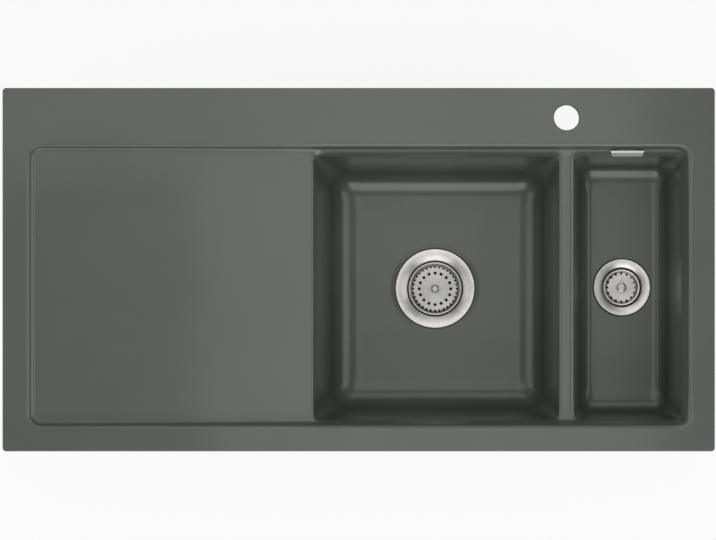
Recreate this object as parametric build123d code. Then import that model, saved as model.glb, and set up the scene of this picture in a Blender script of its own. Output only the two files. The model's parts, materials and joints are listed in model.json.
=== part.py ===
from build123d import *
import math
import os

os.makedirs("parts", exist_ok=True)

# All sizes are millimetres and degrees. The origin is the middle of the deck's top face,
# which lies level with the worktop. +X is to the right, +Y is to the back, +Z is up.

# Ceramic outline and rim
sink_length = 980.0
sink_width = 500.0
outline_corner = 5.0
rim_thickness = 10.0
seat_width = 24.0
deck_thickness = 14.0
deck_edge_round = 1.5
ceramic_wall = 10.0

# Sunken tray that holds the draining board and both bowls
side_rim = 35.0
front_rim = 35.0
back_deck = 80.0
tray_corner = 18.0
tray_edge_round = 3.0
left_lean = 55.0
right_lean = 30.0
front_lean = 25.0
back_lean = 35.0

# Draining board
drainer_start_drop = 7.0
drainer_end_drop = 11.0
drainer_floor_round = 3.0
drainer_lip_round = 3.0

# Bowls, with their lengths measured at the top of the divider. The leans of the walls are for the
# left, right, front and back wall, and the shifts move the wastes off the middle.
main_bowl_length = 340.0
small_bowl_length = 149.0
main_bowl_depth = 190.0
small_bowl_depth = 140.0
divider_width = 20.0
divider_drop = 17.0
divider_round = 6.0
main_wall_leans = (7.5, 5.0, 4.7, 4.0)
small_wall_leans = (9.5, 3.5, 4.2, 2.5)
waste_back_shift = 3.0
small_waste_shift = 6.5
mouth_corner = 8.0
floor_corner = 20.0
floor_round = 18.0
floor_thickness = 17.0
under_round = 30.0

# Tap hole
tap_hole_diameter = 35.0
tap_hole_from_back = 40.5

# Overflow in the back wall of the small bowl
overflow_offset = -7.0
overflow_drop = 11.0
overflow_slot_width = 30.0
overflow_slot_height = 7.5
overflow_boss_width = 44.0
overflow_boss_height = 22.0
overflow_boss_reach = 30.0
cover_top_width = 46.0
cover_bottom_width = 41.0
cover_height = 10.0
cover_lift = 1.5
cover_stand_off = 1.8
cover_sheet = 1.0
clip_shoulder = 1.2
insert_flange_width = 36.0
insert_flange_height = 9.5
insert_flange_thickness = 1.2
insert_depth = 8.0
insert_window_width = 15.2
insert_window_height = 5.0
overflow_screw_spacing = 22.5
overflow_screw_diameter = 3.0
overflow_screw_head = 5.2
overflow_gasket_thickness = 2.0
overflow_head_flange = 5.0

# Overflow pipe and its two unions
pipe_diameter = 20.0
pipe_wall = 1.6
pipe_bend_radius = 32.0
socket_wall = 2.2
socket_depth = 14.0
spigot_length = 40.0
union_seal_thickness = 3.0
nut_wall = 4.0
nut_length = 18.0
nut_end_wall = 3.5
inlet_drop = 37.0
inlet_reach = 58.0

# Main basket waste
main_flange_diameter = 116.0
main_flange_band = 4.0
main_cup_diameter = 82.0
main_cup_depth = 42.0
main_floor_hole = 98.0
main_rim_diameter = 78.0
main_disc_diameter = 67.0
main_basket_depth = 9.0
main_basket_sink = 7.0
main_hole_circle = 47.0
main_hole_diameter = 4.6
main_hole_count = 16
main_slot_count = 32
main_slot_width = 2.4
main_knob_diameter = 11.5
main_knob_height = 8.0
main_drain_hole = 15.0
main_drain_circle = 48.0
main_seal_diameter = 70.0
main_outlet_diameter = 47.8
main_outlet_bore = 40.0

# Small basket waste
small_flange_diameter = 81.0
small_flange_band = 3.5
small_cup_diameter = 57.0
small_cup_depth = 37.0
small_floor_hole = 68.0
small_rim_diameter = 52.0
small_disc_diameter = 43.0
small_basket_depth = 6.0
small_basket_sink = 6.0
small_slot_count = 16
small_slot_width = 3.0
small_knob_diameter = 14.0
small_knob_height = 7.5
small_drain_hole = 9.0
small_drain_circle = 34.0
small_seal_diameter = 47.0
small_outlet_diameter = 41.9
small_outlet_bore = 34.0

# Sizes that both wastes share
rebate_depth = 3.5
rebate_clearance = 1.5
steel_sheet = 1.2
flange_cone = 12.0
throat_round = 2.0
flange_seal_thickness = 1.5
floor_gasket_thickness = 3.0
body_flange_overlap = 10.0
body_flange_thickness = 4.0
body_gap = 3.3
body_wall = 3.0
body_foot_gap = 6.0
body_cone_rise = 0.35
outlet_length = 24.0
hub_diameter = 13.0
hub_gap = 2.0
hub_length = 14.0
rib_thickness = 3.0
screw_diameter = 6.0
screw_head_diameter = 15.0
screw_head_height = 6.0
socket_hole_depth = 4.5
stem_diameter = 8.0
stem_pin_diameter = 6.0
stem_pin_length = 4.0
stem_stud_diameter = 4.4
stem_stud_length = 4.5
stem_collar_thickness = 2.0
seal_plate_thickness = 3.0
seal_neck_ratio = 0.46
drain_hole_count = 6

# Room left between round faces that fit one in the other
fit_gap = 0.3

# Places worked out from the sizes
lean = {s: math.tan(math.radians(a)) for s, a in
        dict(left=left_lean, right=right_lean, front=front_lean, back=back_lean).items()}
tray_left = -sink_length / 2 + side_rim
tray_right = sink_length / 2 - side_rim
tray_front = -sink_width / 2 + front_rim
tray_back = sink_width / 2 - back_deck
mouth_front = tray_front + divider_drop * lean["front"]
mouth_back = tray_back - divider_drop * lean["back"]
small_mouth_right = tray_right - divider_drop * lean["right"]
small_mouth_left = small_mouth_right - small_bowl_length
main_mouth_right = small_mouth_left - divider_width
main_mouth_left = main_mouth_right - main_bowl_length
drainer_fall = (drainer_end_drop - drainer_start_drop) / (main_mouth_left - tray_left)
waste_y = (tray_front + tray_back) / 2 + waste_back_shift
main_x = (main_mouth_left + main_mouth_right) / 2
small_x = (small_mouth_left + small_mouth_right) / 2 + small_waste_shift
tap_x = main_mouth_right + divider_width / 2
tap_y = sink_width / 2 - tap_hole_from_back
overflow_x = small_x + overflow_offset
overflow_y = tray_back - overflow_drop * lean["back"]
main_floor = Pos(main_x, waste_y, -main_bowl_depth)
small_floor = Pos(small_x, waste_y, -small_bowl_depth)

# The overflow is drawn on the slanted wall: local z points into the bowl, local y up the wall
back_angle = math.radians(back_lean)
overflow_wall = Plane(
    origin=(overflow_x, overflow_y, -overflow_drop),
    x_dir=(1, 0, 0),
    z_dir=(0, -math.cos(back_angle), math.sin(back_angle)),
)
head_back = -overflow_boss_reach - overflow_gasket_thickness - overflow_head_flange
socket_radius = pipe_diameter / 2 + fit_gap
spigot_radius = socket_radius + socket_wall
spigot_axis = overflow_wall.from_local_coords(
    Vector(0, 0, head_back - spigot_radius))
spigot_end = spigot_axis.Z - spigot_length


# Small drawing helpers
def plate(box, corner, z):
    """Rounded rectangle from (left, right, front, back) at height z."""
    left, right, front, back = box
    middle = Pos((left + right) / 2, (front + back) / 2, z)
    return middle * RectangleRounded(right - left, back - front, corner)


def grown(box, by):
    """The same box with every side moved outwards."""
    left, right, front, back = box
    return (left - by, right + by, front - by, back + by)


def hopper(top, top_corner, top_z, bottom, bottom_corner, bottom_z):
    """Block that runs straight from one rounded rectangle to a lower one."""
    return loft(
        [plate(top, top_corner, top_z), plate(bottom, bottom_corner, bottom_z)], ruled=True)


def rounded_foot(block, radius):
    """The block with the edges of its lowest face rounded."""
    return fillet(block.faces().sort_by(Axis.Z)[0].edges(), radius)


def turned(*points):
    """Solid turned about Z from a closed outline of (radius, height) points."""
    return revolve(make_face(Plane.XZ * Polyline(*points, close=True)), Axis.Z)


def ring(inner, outer, low, high):
    """Flat ring between two radii and two heights."""
    return turned((inner, low), (outer, low), (outer, high), (inner, high))


def rod(radius, low, high):
    """Upright round bar between two heights."""
    return Pos(0, 0, (low + high) / 2) * Cylinder(radius, high - low)


def bar(x, y, z):
    """Box from three (low, high) pairs."""
    middle = Pos(sum(x) / 2, sum(y) / 2, sum(z) / 2)
    return middle * Box(x[1] - x[0], y[1] - y[0], z[1] - z[0])


def around(count, shape, start=0.0):
    """Copies of a shape spaced evenly about Z."""
    return [Rot(0, 0, start + 360.0 * i / count) * shape for i in range(count)]


# Ceramic body
def drainer_block(drop, left, right):
    """Everything above a plane that falls with the draining board, that far below it."""
    def height(x):
        return -drainer_start_drop - drop - (x - tray_left) * drainer_fall
    side = Polyline((left, 5), (right, 5), (right, height(right)), (left, height(left)), close=True)
    return extrude(make_face(Plane.XZ * side), amount=sink_width, both=True)


def tray_block():
    """The sunken tray down to the top of the divider."""
    bottom = (tray_left + divider_drop * lean["left"], small_mouth_right, mouth_front, mouth_back)
    return hopper((tray_left, tray_right, tray_front, tray_back), tray_corner, 0,
                  bottom, mouth_corner, -divider_drop)


def bowl_boxes(mouth_left, mouth_right, depth, leans):
    """Mouth and floor outlines of a bowl whose walls lean in by these angles."""
    left, right, front, back = [(depth - divider_drop) * math.tan(math.radians(a)) for a in leans]
    mouth = (mouth_left, mouth_right, mouth_front, mouth_back)
    floor = (mouth_left + left, mouth_right - right, mouth_front + front, mouth_back - back)
    return mouth, floor


def bowl_block(mouth, floor, depth):
    """The hollow of one bowl, open upwards."""
    hollow = hopper(mouth, mouth_corner, -divider_drop, floor, floor_corner, -depth)
    hollow = rounded_foot(hollow, floor_round)
    return hollow + extrude(plate(mouth, mouth_corner, -divider_drop), amount=divider_drop)


def bowl_shell(mouth, floor, depth):
    """The outside of one bowl, below the deck."""
    shell = hopper(grown(mouth, ceramic_wall), mouth_corner + ceramic_wall, -deck_thickness + 2,
                   grown(floor, ceramic_wall), floor_corner + ceramic_wall,
                   -depth - floor_thickness)
    return rounded_foot(shell, under_round)


def drainer_hollow(tray):
    """The tray's hollow above the draining board, with its floor edges rounded."""
    reach = main_mouth_left + 2 * mouth_corner
    hollow = tray & drainer_block(0, tray_left - 50, reach)
    foot = [e for e in hollow.edges()
            if e.bounding_box().max.Z < -drainer_start_drop + 2.5 and e.center().X < reach - 1]
    return fillet(foot, drainer_floor_round)


def drainer_pan():
    """The underside of the draining board."""
    top = -deck_thickness + 2
    bottom = -drainer_end_drop - ceramic_wall - 5
    outline = (tray_left, main_mouth_left + ceramic_wall, tray_front, tray_back)
    pan = hopper(outline, tray_corner, top, grown(outline, bottom - top), mouth_corner, bottom)
    return pan & drainer_block(ceramic_wall, tray_left - 50, main_mouth_left + 60)


def tray_rim_edges(body):
    """The loop where the deck turns down into the tray."""
    return [e for e in body.edges()
            if e.bounding_box().min.Z > -0.01
            and e.bounding_box().min.X > tray_left - 1 and e.bounding_box().max.X < tray_right + 1
            and e.bounding_box().max.Y < tray_back + 1 and e.bounding_box().min.Y > tray_front - 1]


def long_edges(body, x, z):
    """Edges running front to back at a given place."""
    return [e for e in body.edges()
            if e.length > (mouth_back - mouth_front) / 2
            and abs(e.center().X - x) < 1 and abs(e.center().Z - z) < 1]


def divider_round_cut(edge_x, inwards, wall_angle):
    """Waste taken off one top edge of the divider to round it against a leaning bowl wall."""
    radius = min(divider_round, divider_width / 2 - 1)
    middle = radius * (1 - math.sin(wall_angle)) / math.cos(wall_angle)
    side = radius * math.sin(wall_angle)
    foot = (middle - radius * math.cos(wall_angle), -divider_drop - radius + side)
    turn = math.radians(45) + wall_angle / 2
    crest = (middle - radius * math.cos(turn), -divider_drop - radius + radius * math.sin(turn))
    top = (middle, -divider_drop)
    outside = [top, (middle, -divider_drop + 1), (foot[0] - 2, -divider_drop + 1),
               (foot[0] - 2, foot[1]), foot]

    def placed(point):
        return (edge_x + inwards * point[0], point[1])
    outline = Polyline(*[placed(p) for p in outside]) + ThreePointArc(
        placed(foot), placed(crest), placed(top))
    length = mouth_back - mouth_front - 2 * mouth_corner
    prism = extrude(make_face(Plane.XZ * outline), amount=length / 2, both=True)
    return Pos(0, (mouth_front + mouth_back) / 2, 0) * prism


def waste_cut(flange_diameter, hole_diameter):
    """Hole and flange rebate in a bowl floor."""
    rebate = rod(flange_diameter / 2 + rebate_clearance, -rebate_depth, 1)
    return rebate + rod(hole_diameter / 2, -floor_thickness - 1, 0)


def sink_body():
    tray = tray_block()
    main_mouth, main_foot = bowl_boxes(
        main_mouth_left, main_mouth_right, main_bowl_depth, main_wall_leans)
    small_mouth, small_foot = bowl_boxes(
        small_mouth_left, small_mouth_right, small_bowl_depth, small_wall_leans)

    outline = (-sink_length / 2, sink_length / 2, -sink_width / 2, sink_width / 2)
    body = extrude(plate(outline, outline_corner, -rim_thickness), amount=rim_thickness)
    body += extrude(plate(grown(outline, -seat_width), tray_corner, -deck_thickness),
                    amount=deck_thickness)
    body += bowl_shell(main_mouth, main_foot, main_bowl_depth)
    body += bowl_shell(small_mouth, small_foot, small_bowl_depth)
    body += drainer_pan()
    body += overflow_wall * bar(
        (-overflow_boss_width / 2, overflow_boss_width / 2),
        (-overflow_boss_height / 2, overflow_boss_height / 2),
        (-overflow_boss_reach, -ceramic_wall / 2))

    past_corner = main_mouth_left + mouth_corner
    body -= (drainer_hollow(tray)
             + (tray & bar((past_corner, tray_right + 50), (-sink_width, sink_width), (-50, 5)))
             + bowl_block(main_mouth, main_foot, main_bowl_depth)
             + bowl_block(small_mouth, small_foot, small_bowl_depth))

    body = fillet(tray_rim_edges(body), tray_edge_round)
    body = fillet(long_edges(body, main_mouth_left, -drainer_end_drop), drainer_lip_round)
    body -= divider_round_cut(main_mouth_right, 1, math.radians(main_wall_leans[1]))
    body -= divider_round_cut(small_mouth_left, -1, math.radians(small_wall_leans[0]))
    outer = [e for e in body.edges()
             if e.bounding_box().min.Z > -0.01 and e not in tray_rim_edges(body)]
    body = fillet(outer, deck_edge_round)

    body -= main_floor * waste_cut(main_flange_diameter, main_floor_hole)
    body -= small_floor * waste_cut(small_flange_diameter, small_floor_hole)
    body -= Pos(tap_x, tap_y, 0) * rod(tap_hole_diameter / 2, -deck_thickness - 1, 1)
    slot = SlotOverall(overflow_slot_width, overflow_slot_height)
    body -= overflow_wall * extrude(Pos(0, 0, -overflow_boss_reach - 1) * slot,
                                    amount=overflow_boss_reach + 6)
    return body


# Basket wastes, drawn with z = 0 at the bowl floor
flange_under = -rebate_depth + flange_seal_thickness
gasket_low = -floor_thickness - floor_gasket_thickness


def flange_cup(flange_diameter, band, cup_diameter, depth, hole_diameter, hole_circle):
    """Pressed steel flange and cup with drain holes in its floor."""
    flange = flange_diameter / 2
    cup = cup_diameter / 2
    top = flange_under + steel_sheet
    fall = (flange - band - cup) * math.tan(math.radians(flange_cone))
    screw_hole = screw_diameter / 2 + fit_gap
    shape = turned(
        (flange, flange_under), (flange, top), (flange - band, top),
        (cup + throat_round, top - fall), (cup, top - fall - throat_round), (cup, -depth),
        (screw_hole, -depth), (screw_hole, -depth - steel_sheet),
        (cup + steel_sheet, -depth - steel_sheet),
        (cup + steel_sheet, flange_under - fall - throat_round),
        (cup + throat_round + steel_sheet / 2, flange_under - fall), (flange - band, flange_under))
    hole = Pos(hole_circle / 2, 0, 0) * rod(hole_diameter / 2, -depth - 3, -depth + 1)
    return shape - around(drain_hole_count, hole, 30.0)


def flange_seal(flange_diameter, band):
    return ring(flange_diameter / 2 - band, flange_diameter / 2 - 1, -rebate_depth, flange_under)


def floor_gasket(hole_diameter):
    return ring(hole_diameter / 2, hole_diameter / 2 + body_flange_overlap - 1,
                gasket_low, -floor_thickness)


def waste_body(cup_diameter, depth, hole_diameter, outlet_diameter, outlet_bore):
    """Moulded housing under the floor, with a screw hub on three ribs and a threaded outlet."""
    inner = cup_diameter / 2 + steel_sheet + body_gap
    outer = inner + body_wall
    flange = hole_diameter / 2 + body_flange_overlap
    outlet = outlet_diameter / 2
    bore = outlet_bore / 2
    flange_low = gasket_low - body_flange_thickness
    foot = -depth - steel_sheet - body_foot_gap
    throat = foot - (inner - bore) * body_cone_rise
    end = throat - outlet_length
    shell = turned(
        (inner, gasket_low), (flange, gasket_low), (flange, flange_low), (outer, flange_low),
        (outer, foot - 2), (outlet, throat - 2), (outlet, end), (bore, end), (bore, throat),
        (inner, foot))
    hub_top = -depth - steel_sheet - hub_gap
    inside = turned((0, gasket_low), (outer - 1, gasket_low), (outer - 1, foot),
                    (bore + 1, throat), (bore + 1, end), (0, end))
    rib = bar((0, outer), (-rib_thickness / 2, rib_thickness / 2),
              (hub_top - hub_length + 2, hub_top - 2))
    hub = rod(hub_diameter / 2, hub_top - hub_length, hub_top)
    spokes = [piece & inside for piece in around(3, rib, 90.0)]
    return shell + spokes + hub - rod(screw_diameter / 2 + fit_gap, end, gasket_low)


def inlet_tube(cup_diameter):
    """Socket tube for the overflow pipe, and the passage it opens through the housing wall."""
    inner = cup_diameter / 2 + steel_sheet + body_gap
    lying = Pos(overflow_offset, 0, -inlet_drop) * Rot(-90, 0, 0)
    tube = lying * rod(spigot_radius, inner + 1, inlet_reach)
    passage = lying * (rod(socket_radius, inlet_reach - socket_depth, inlet_reach + 1)
                       + rod(pipe_diameter / 2 - pipe_wall, inner - 4, inlet_reach))
    return tube, passage


def clamp_screw(depth):
    """Screw that pulls the housing up against the floor; its head holds the basket's pin."""
    low = -depth - steel_sheet - hub_gap - hub_length + 1
    screw = rod(screw_diameter / 2, low, -depth) + rod(
        screw_head_diameter / 2, -depth, -depth + screw_head_height)
    hole = rod(stem_pin_diameter / 2 + fit_gap,
               -depth + screw_head_height - socket_hole_depth, -depth + screw_head_height + 1)
    return screw - hole


def stopper_seal(depth, diameter):
    """Rubber plug round the screw head that closes the drain holes."""
    hole = screw_head_diameter / 2 + 0.5
    neck = diameter * seal_neck_ratio / 2 + 1
    shoulder = -depth + seal_plate_thickness
    top = -depth + screw_head_height + 0.5
    return turned((hole, -depth), (diameter / 2, -depth), (diameter / 2, shoulder),
                  (neck, shoulder), (neck, top), (hole, top))


def basket_stem(depth, seal_diameter, disc_under, disc_thickness):
    """Stem with a collar on the rubber plug, a pin below it and a stud through the basket."""
    collar = -depth + screw_head_height + 0.5
    neck = seal_diameter * seal_neck_ratio / 2 + 1
    stem = rod(stem_pin_diameter / 2, collar - stem_pin_length, collar)
    stem += rod(neck, collar, collar + stem_collar_thickness)
    stem += rod(stem_diameter / 2, collar + stem_collar_thickness, disc_under)
    return stem + rod(stem_stud_diameter / 2, disc_under,
                      disc_under + disc_thickness + stem_stud_length - 0.5)


def basket(rim_diameter, disc_diameter, rim_top, depth, slot_count, slot_width):
    """Steel dish with a turned-out rim and slots round the foot of its wall."""
    rim = rim_diameter / 2
    disc = disc_diameter / 2
    low = rim_top - depth
    bore = stem_stud_diameter / 2 + fit_gap
    dish = turned(
        (rim, rim_top), (rim, rim_top - steel_sheet), (rim - steel_sheet, rim_top - steel_sheet),
        (disc + steel_sheet, low - steel_sheet), (bore, low - steel_sheet), (bore, low),
        (disc, low), (rim - 2.2 * steel_sheet, rim_top))
    slot = bar((disc - 2.5, rim), (-slot_width / 2, slot_width / 2),
               (low - 2, rim_top - steel_sheet - 1))
    return dish - around(slot_count, slot)


def basket_knob(diameter, height, seat):
    """Waisted pull knob on the basket floor."""
    radius = diameter / 2
    bore = stem_stud_diameter / 2 + fit_gap
    foot = max(radius * 0.7, bore + 1)
    return turned(
        (bore, seat), (foot, seat), (foot - 0.6, seat + height * 0.35),
        (radius, seat + height * 0.65), (radius, seat + height * 0.85),
        (radius * 0.75, seat + height), (0, seat + height), (0, seat + stem_stud_length),
        (bore, seat + stem_stud_length))


def main_waste():
    """All pieces of the main bowl's waste, by name."""
    disc = -main_basket_sink - main_basket_depth
    hole = Pos(main_hole_circle / 2, 0, 0) * rod(main_hole_diameter / 2, disc - 3, disc + 1)
    dish = basket(main_rim_diameter, main_disc_diameter, -main_basket_sink, main_basket_depth,
                  main_slot_count, main_slot_width)
    return {
        "main_flange_cup": flange_cup(main_flange_diameter, main_flange_band, main_cup_diameter,
                                      main_cup_depth, main_drain_hole, main_drain_circle),
        "main_flange_seal": flange_seal(main_flange_diameter, main_flange_band),
        "main_floor_gasket": floor_gasket(main_floor_hole),
        "main_waste_body": waste_body(main_cup_diameter, main_cup_depth, main_floor_hole,
                                      main_outlet_diameter, main_outlet_bore),
        "main_clamp_screw": clamp_screw(main_cup_depth),
        "main_stopper_seal": stopper_seal(main_cup_depth, main_seal_diameter),
        "main_basket_stem": basket_stem(main_cup_depth, main_seal_diameter,
                                        disc - steel_sheet, steel_sheet),
        "main_strainer_basket": dish - around(main_hole_count, hole),
        "main_basket_knob": basket_knob(main_knob_diameter, main_knob_height, disc),
    }


def small_waste():
    """All pieces of the small bowl's waste, by name."""
    disc = -small_basket_sink - small_basket_depth
    tube, passage = inlet_tube(small_cup_diameter)
    housing = waste_body(small_cup_diameter, small_cup_depth, small_floor_hole,
                         small_outlet_diameter, small_outlet_bore)
    return {
        "small_flange_cup": flange_cup(small_flange_diameter, small_flange_band,
                                       small_cup_diameter, small_cup_depth,
                                       small_drain_hole, small_drain_circle),
        "small_flange_seal": flange_seal(small_flange_diameter, small_flange_band),
        "small_floor_gasket": floor_gasket(small_floor_hole),
        "small_waste_body": housing + tube - passage,
        "small_clamp_screw": clamp_screw(small_cup_depth),
        "small_stopper_seal": stopper_seal(small_cup_depth, small_seal_diameter),
        "small_basket_stem": basket_stem(small_cup_depth, small_seal_diameter,
                                         disc - steel_sheet, steel_sheet),
        "small_strainer_basket": basket(small_rim_diameter, small_disc_diameter,
                                        -small_basket_sink, small_basket_depth,
                                        small_slot_count, small_slot_width),
        "small_basket_knob": basket_knob(small_knob_diameter, small_knob_height, disc),
    }


# Overflow set, drawn on the slanted wall
def wall_slab(width, height, low, high):
    """Rectangle on the wall, thickened between two distances from it."""
    return bar((-width / 2, width / 2), (-height / 2, height / 2), (low, high))


def screw_pair(shape):
    """The two places of the overflow screws."""
    return [Pos(-overflow_screw_spacing / 2, 0, 0) * shape,
            Pos(overflow_screw_spacing / 2, 0, 0) * shape]


def overflow_cover():
    """Bent steel plate, narrower at its open lower edge, on two clip legs."""
    upper = cover_lift + cover_height / 2
    lower = cover_lift - cover_height / 2
    bend = cover_lift + cover_height * 0.18
    low = insert_flange_thickness + 0.4
    top = low + cover_sheet
    side = Polyline(
        (upper, low), (bend, low + cover_stand_off * 0.6), (lower, low + cover_stand_off),
        (lower, top + cover_stand_off), (bend, top + cover_stand_off * 0.6), (upper, top),
        close=True)
    sheet = extrude(make_face(Plane.YZ * side), amount=cover_top_width / 2, both=True)
    face = Polyline((-cover_top_width / 2, upper), (cover_top_width / 2, upper),
                    (cover_bottom_width / 2, lower), (-cover_bottom_width / 2, lower), close=True)
    sheet = sheet & extrude(make_face(face), amount=40, both=True)
    reach = insert_window_width / 2 - fit_gap
    tongue = insert_window_height / 2 - fit_gap
    leg = bar((reach - cover_sheet, reach), (-tongue, tongue),
              (-insert_depth + 1, insert_flange_thickness))
    leg += bar((reach - cover_sheet, reach), (-tongue - clip_shoulder, tongue + clip_shoulder),
               (insert_flange_thickness, low + cover_stand_off * 0.6 + cover_sheet * 0.7))
    return sheet + leg + mirror(leg, Plane.YZ)


def overflow_insert():
    """Plastic frame in the wall slot, with the two screws sunk in it."""
    slot = SlotOverall(overflow_slot_width - 2 * fit_gap, overflow_slot_height - 2 * fit_gap)
    frame = wall_slab(insert_flange_width, insert_flange_height, 0, insert_flange_thickness)
    frame += extrude(Pos(0, 0, -insert_depth) * slot, amount=insert_depth)
    frame -= wall_slab(insert_window_width, insert_window_height, -insert_depth - 1, 5)
    frame -= screw_pair(rod(overflow_screw_diameter / 2 + fit_gap, -insert_depth - 1, 5))
    return frame - screw_pair(rod(overflow_screw_head / 2 + fit_gap, -2.0, 5))


def overflow_screw(side):
    """One screw from the insert to the head behind the wall."""
    screw = rod(overflow_screw_diameter / 2, head_back + 0.5, -2.0)
    screw += rod(overflow_screw_head / 2, -2.0, 0.6)
    return Pos(side * overflow_screw_spacing / 2, 0, 0) * screw


def overflow_gasket():
    sheet = wall_slab(overflow_boss_width - 2, overflow_boss_height - 2,
                      -overflow_boss_reach - overflow_gasket_thickness, -overflow_boss_reach)
    window = wall_slab(overflow_slot_width + 1, overflow_slot_height + 1,
                       -overflow_boss_reach - 5, -overflow_boss_reach + 5)
    return sheet - window


def overflow_head():
    """Moulded elbow behind the wall: a flange, a short neck and an upright spigot."""
    face = -overflow_boss_reach - overflow_gasket_thickness
    bore = pipe_diameter / 2 - pipe_wall
    down = Pos(spigot_axis.X, spigot_axis.Y, 0)
    crown = spigot_axis.Z + spigot_radius * 0.6
    head = overflow_wall * (
        wall_slab(overflow_boss_width, overflow_boss_height, head_back, face)
        + rod(spigot_radius - 1, head_back - spigot_radius, face))
    head += down * rod(spigot_radius, spigot_end, crown)
    head -= overflow_wall * (
        rod(bore - 1.5, head_back - spigot_radius, face + 1)
        + screw_pair(rod(overflow_screw_diameter / 2 + fit_gap, head_back - 1, face + 1)))
    head -= down * (rod(bore, spigot_end - 1, crown - 3)
                    + rod(socket_radius, spigot_end - 1, spigot_end + socket_depth))
    return head


# Overflow pipe between the head's spigot and the small waste's inlet tube
def overflow_pipe():
    inlet_z = -small_bowl_depth - inlet_drop
    inlet_y = waste_y + inlet_reach - socket_depth
    high = (overflow_x, spigot_axis.Y, spigot_end + socket_depth)
    low = (overflow_x, inlet_y, inlet_z)
    path = FilletPolyline(high, (overflow_x, spigot_axis.Y, inlet_z), low, radius=pipe_bend_radius)
    start = Plane(origin=high, z_dir=(0, 0, -1))
    wall = start * Circle(pipe_diameter / 2) - start * Circle(pipe_diameter / 2 - pipe_wall)
    return sweep(wall, path=path)


def union_seal():
    """Rubber ring on the end face of a socket tube that ends at z = 0 and opens upwards."""
    return ring(socket_radius, spigot_radius - 0.4, 0, union_seal_thickness)


def union_nut():
    """Round nut over a socket tube that ends at z = 0, with grip flutes."""
    inner = spigot_radius + fit_gap
    outer = inner + nut_wall
    end = union_seal_thickness + nut_end_wall
    nut = ring(inner, outer, end - nut_length, union_seal_thickness)
    nut += ring(socket_radius, outer, union_seal_thickness, end)
    flute = Pos(outer + 0.8, 0, 0) * rod(1.8, end - nut_length - 1, end + 1)
    return nut - around(12, flute)


def build_all():
    parts = {"sink_body": sink_body()}
    for name, shape in main_waste().items():
        parts[name] = main_floor * shape
    for name, shape in small_waste().items():
        parts[name] = small_floor * shape
    overflow = {
        "overflow_cover": overflow_cover(),
        "overflow_insert": overflow_insert(),
        "overflow_screw_left": overflow_screw(-1),
        "overflow_screw_right": overflow_screw(1),
        "overflow_gasket": overflow_gasket(),
    }
    for name, shape in overflow.items():
        parts[name] = overflow_wall * shape
    parts["overflow_head"] = overflow_head()
    parts["overflow_pipe"] = overflow_pipe()
    upper = Pos(spigot_axis.X, spigot_axis.Y, spigot_end) * Rot(180, 0, 0)
    lower = Pos(overflow_x, waste_y + inlet_reach, -small_bowl_depth - inlet_drop) * Rot(-90, 0, 0)
    parts["upper_pipe_seal"] = upper * union_seal()
    parts["upper_pipe_nut"] = upper * union_nut()
    parts["lower_pipe_seal"] = lower * union_seal()
    parts["lower_pipe_nut"] = lower * union_nut()
    return parts


for part_name, part_shape in build_all().items():
    export_step(part_shape, f"parts/{part_name}.step")
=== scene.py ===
# %% [markdown]
# A flush-mount kitchen sink in one glazed casting, seen from straight above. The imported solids
# are the frame: every piece made here lies where its solid lies and rides on the same body.
# All shapes are worked out in millimetres and turned into metres when a mesh is made.

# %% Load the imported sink
import json
import math
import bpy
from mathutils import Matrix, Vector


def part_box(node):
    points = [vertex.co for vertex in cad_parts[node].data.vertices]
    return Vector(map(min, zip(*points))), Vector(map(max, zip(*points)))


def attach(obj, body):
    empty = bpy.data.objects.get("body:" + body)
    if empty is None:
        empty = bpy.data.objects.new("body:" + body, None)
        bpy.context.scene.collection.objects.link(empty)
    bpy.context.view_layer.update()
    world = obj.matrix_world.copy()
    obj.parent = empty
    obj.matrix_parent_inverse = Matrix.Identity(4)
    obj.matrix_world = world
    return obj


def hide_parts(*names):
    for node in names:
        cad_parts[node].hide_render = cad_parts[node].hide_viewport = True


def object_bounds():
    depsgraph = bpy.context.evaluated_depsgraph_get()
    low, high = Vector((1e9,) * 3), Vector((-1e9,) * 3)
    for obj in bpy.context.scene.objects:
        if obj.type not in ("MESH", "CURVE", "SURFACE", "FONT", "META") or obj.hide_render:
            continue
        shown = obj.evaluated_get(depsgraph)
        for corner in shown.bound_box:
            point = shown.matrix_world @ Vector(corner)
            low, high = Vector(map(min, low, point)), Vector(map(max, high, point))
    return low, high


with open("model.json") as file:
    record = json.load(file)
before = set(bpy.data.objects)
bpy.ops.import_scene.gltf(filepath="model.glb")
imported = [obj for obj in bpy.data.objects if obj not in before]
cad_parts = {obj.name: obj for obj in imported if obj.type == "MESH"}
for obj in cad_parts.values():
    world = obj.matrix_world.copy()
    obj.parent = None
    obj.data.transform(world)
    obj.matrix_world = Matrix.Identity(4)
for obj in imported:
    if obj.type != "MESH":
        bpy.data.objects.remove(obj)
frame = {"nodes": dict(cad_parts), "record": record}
from types import SimpleNamespace
import bmesh
import bpy
import numpy as np
from mathutils import Vector

cad_low, cad_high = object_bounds()
print("solids span", [round(v, 4) for v in cad_high - cad_low])

# %% [markdown]
# The camera hangs straight over the sink. The photograph's uprights all lean away from one point
# a little right of and below the middle, so the camera stands over that point and its lens is
# shifted until the sink fills the frame. A turn of the camera would make the outline a trapezium.

# %% Camera
camera_place = (0.091, -0.110, 2.520)
frame_width = 0.9845
frame_middle = (-0.0009, -0.0005)

camera = bpy.data.cameras.new("camera")
camera.sensor_width = 36.0
camera.lens = camera.sensor_width * camera_place[2] / frame_width
camera.shift_x = (frame_middle[0] - camera_place[0]) / frame_width
camera.shift_y = (frame_middle[1] - camera_place[1]) / frame_width
eye = bpy.data.objects.new("camera", camera)
eye.location = camera_place
bpy.context.scene.collection.objects.link(eye)
bpy.context.scene.camera = eye
bpy.context.scene.view_settings.view_transform = "Standard"
print("lens", round(camera.lens, 1), "shift", round(camera.shift_x, 3), round(camera.shift_y, 3))

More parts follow.
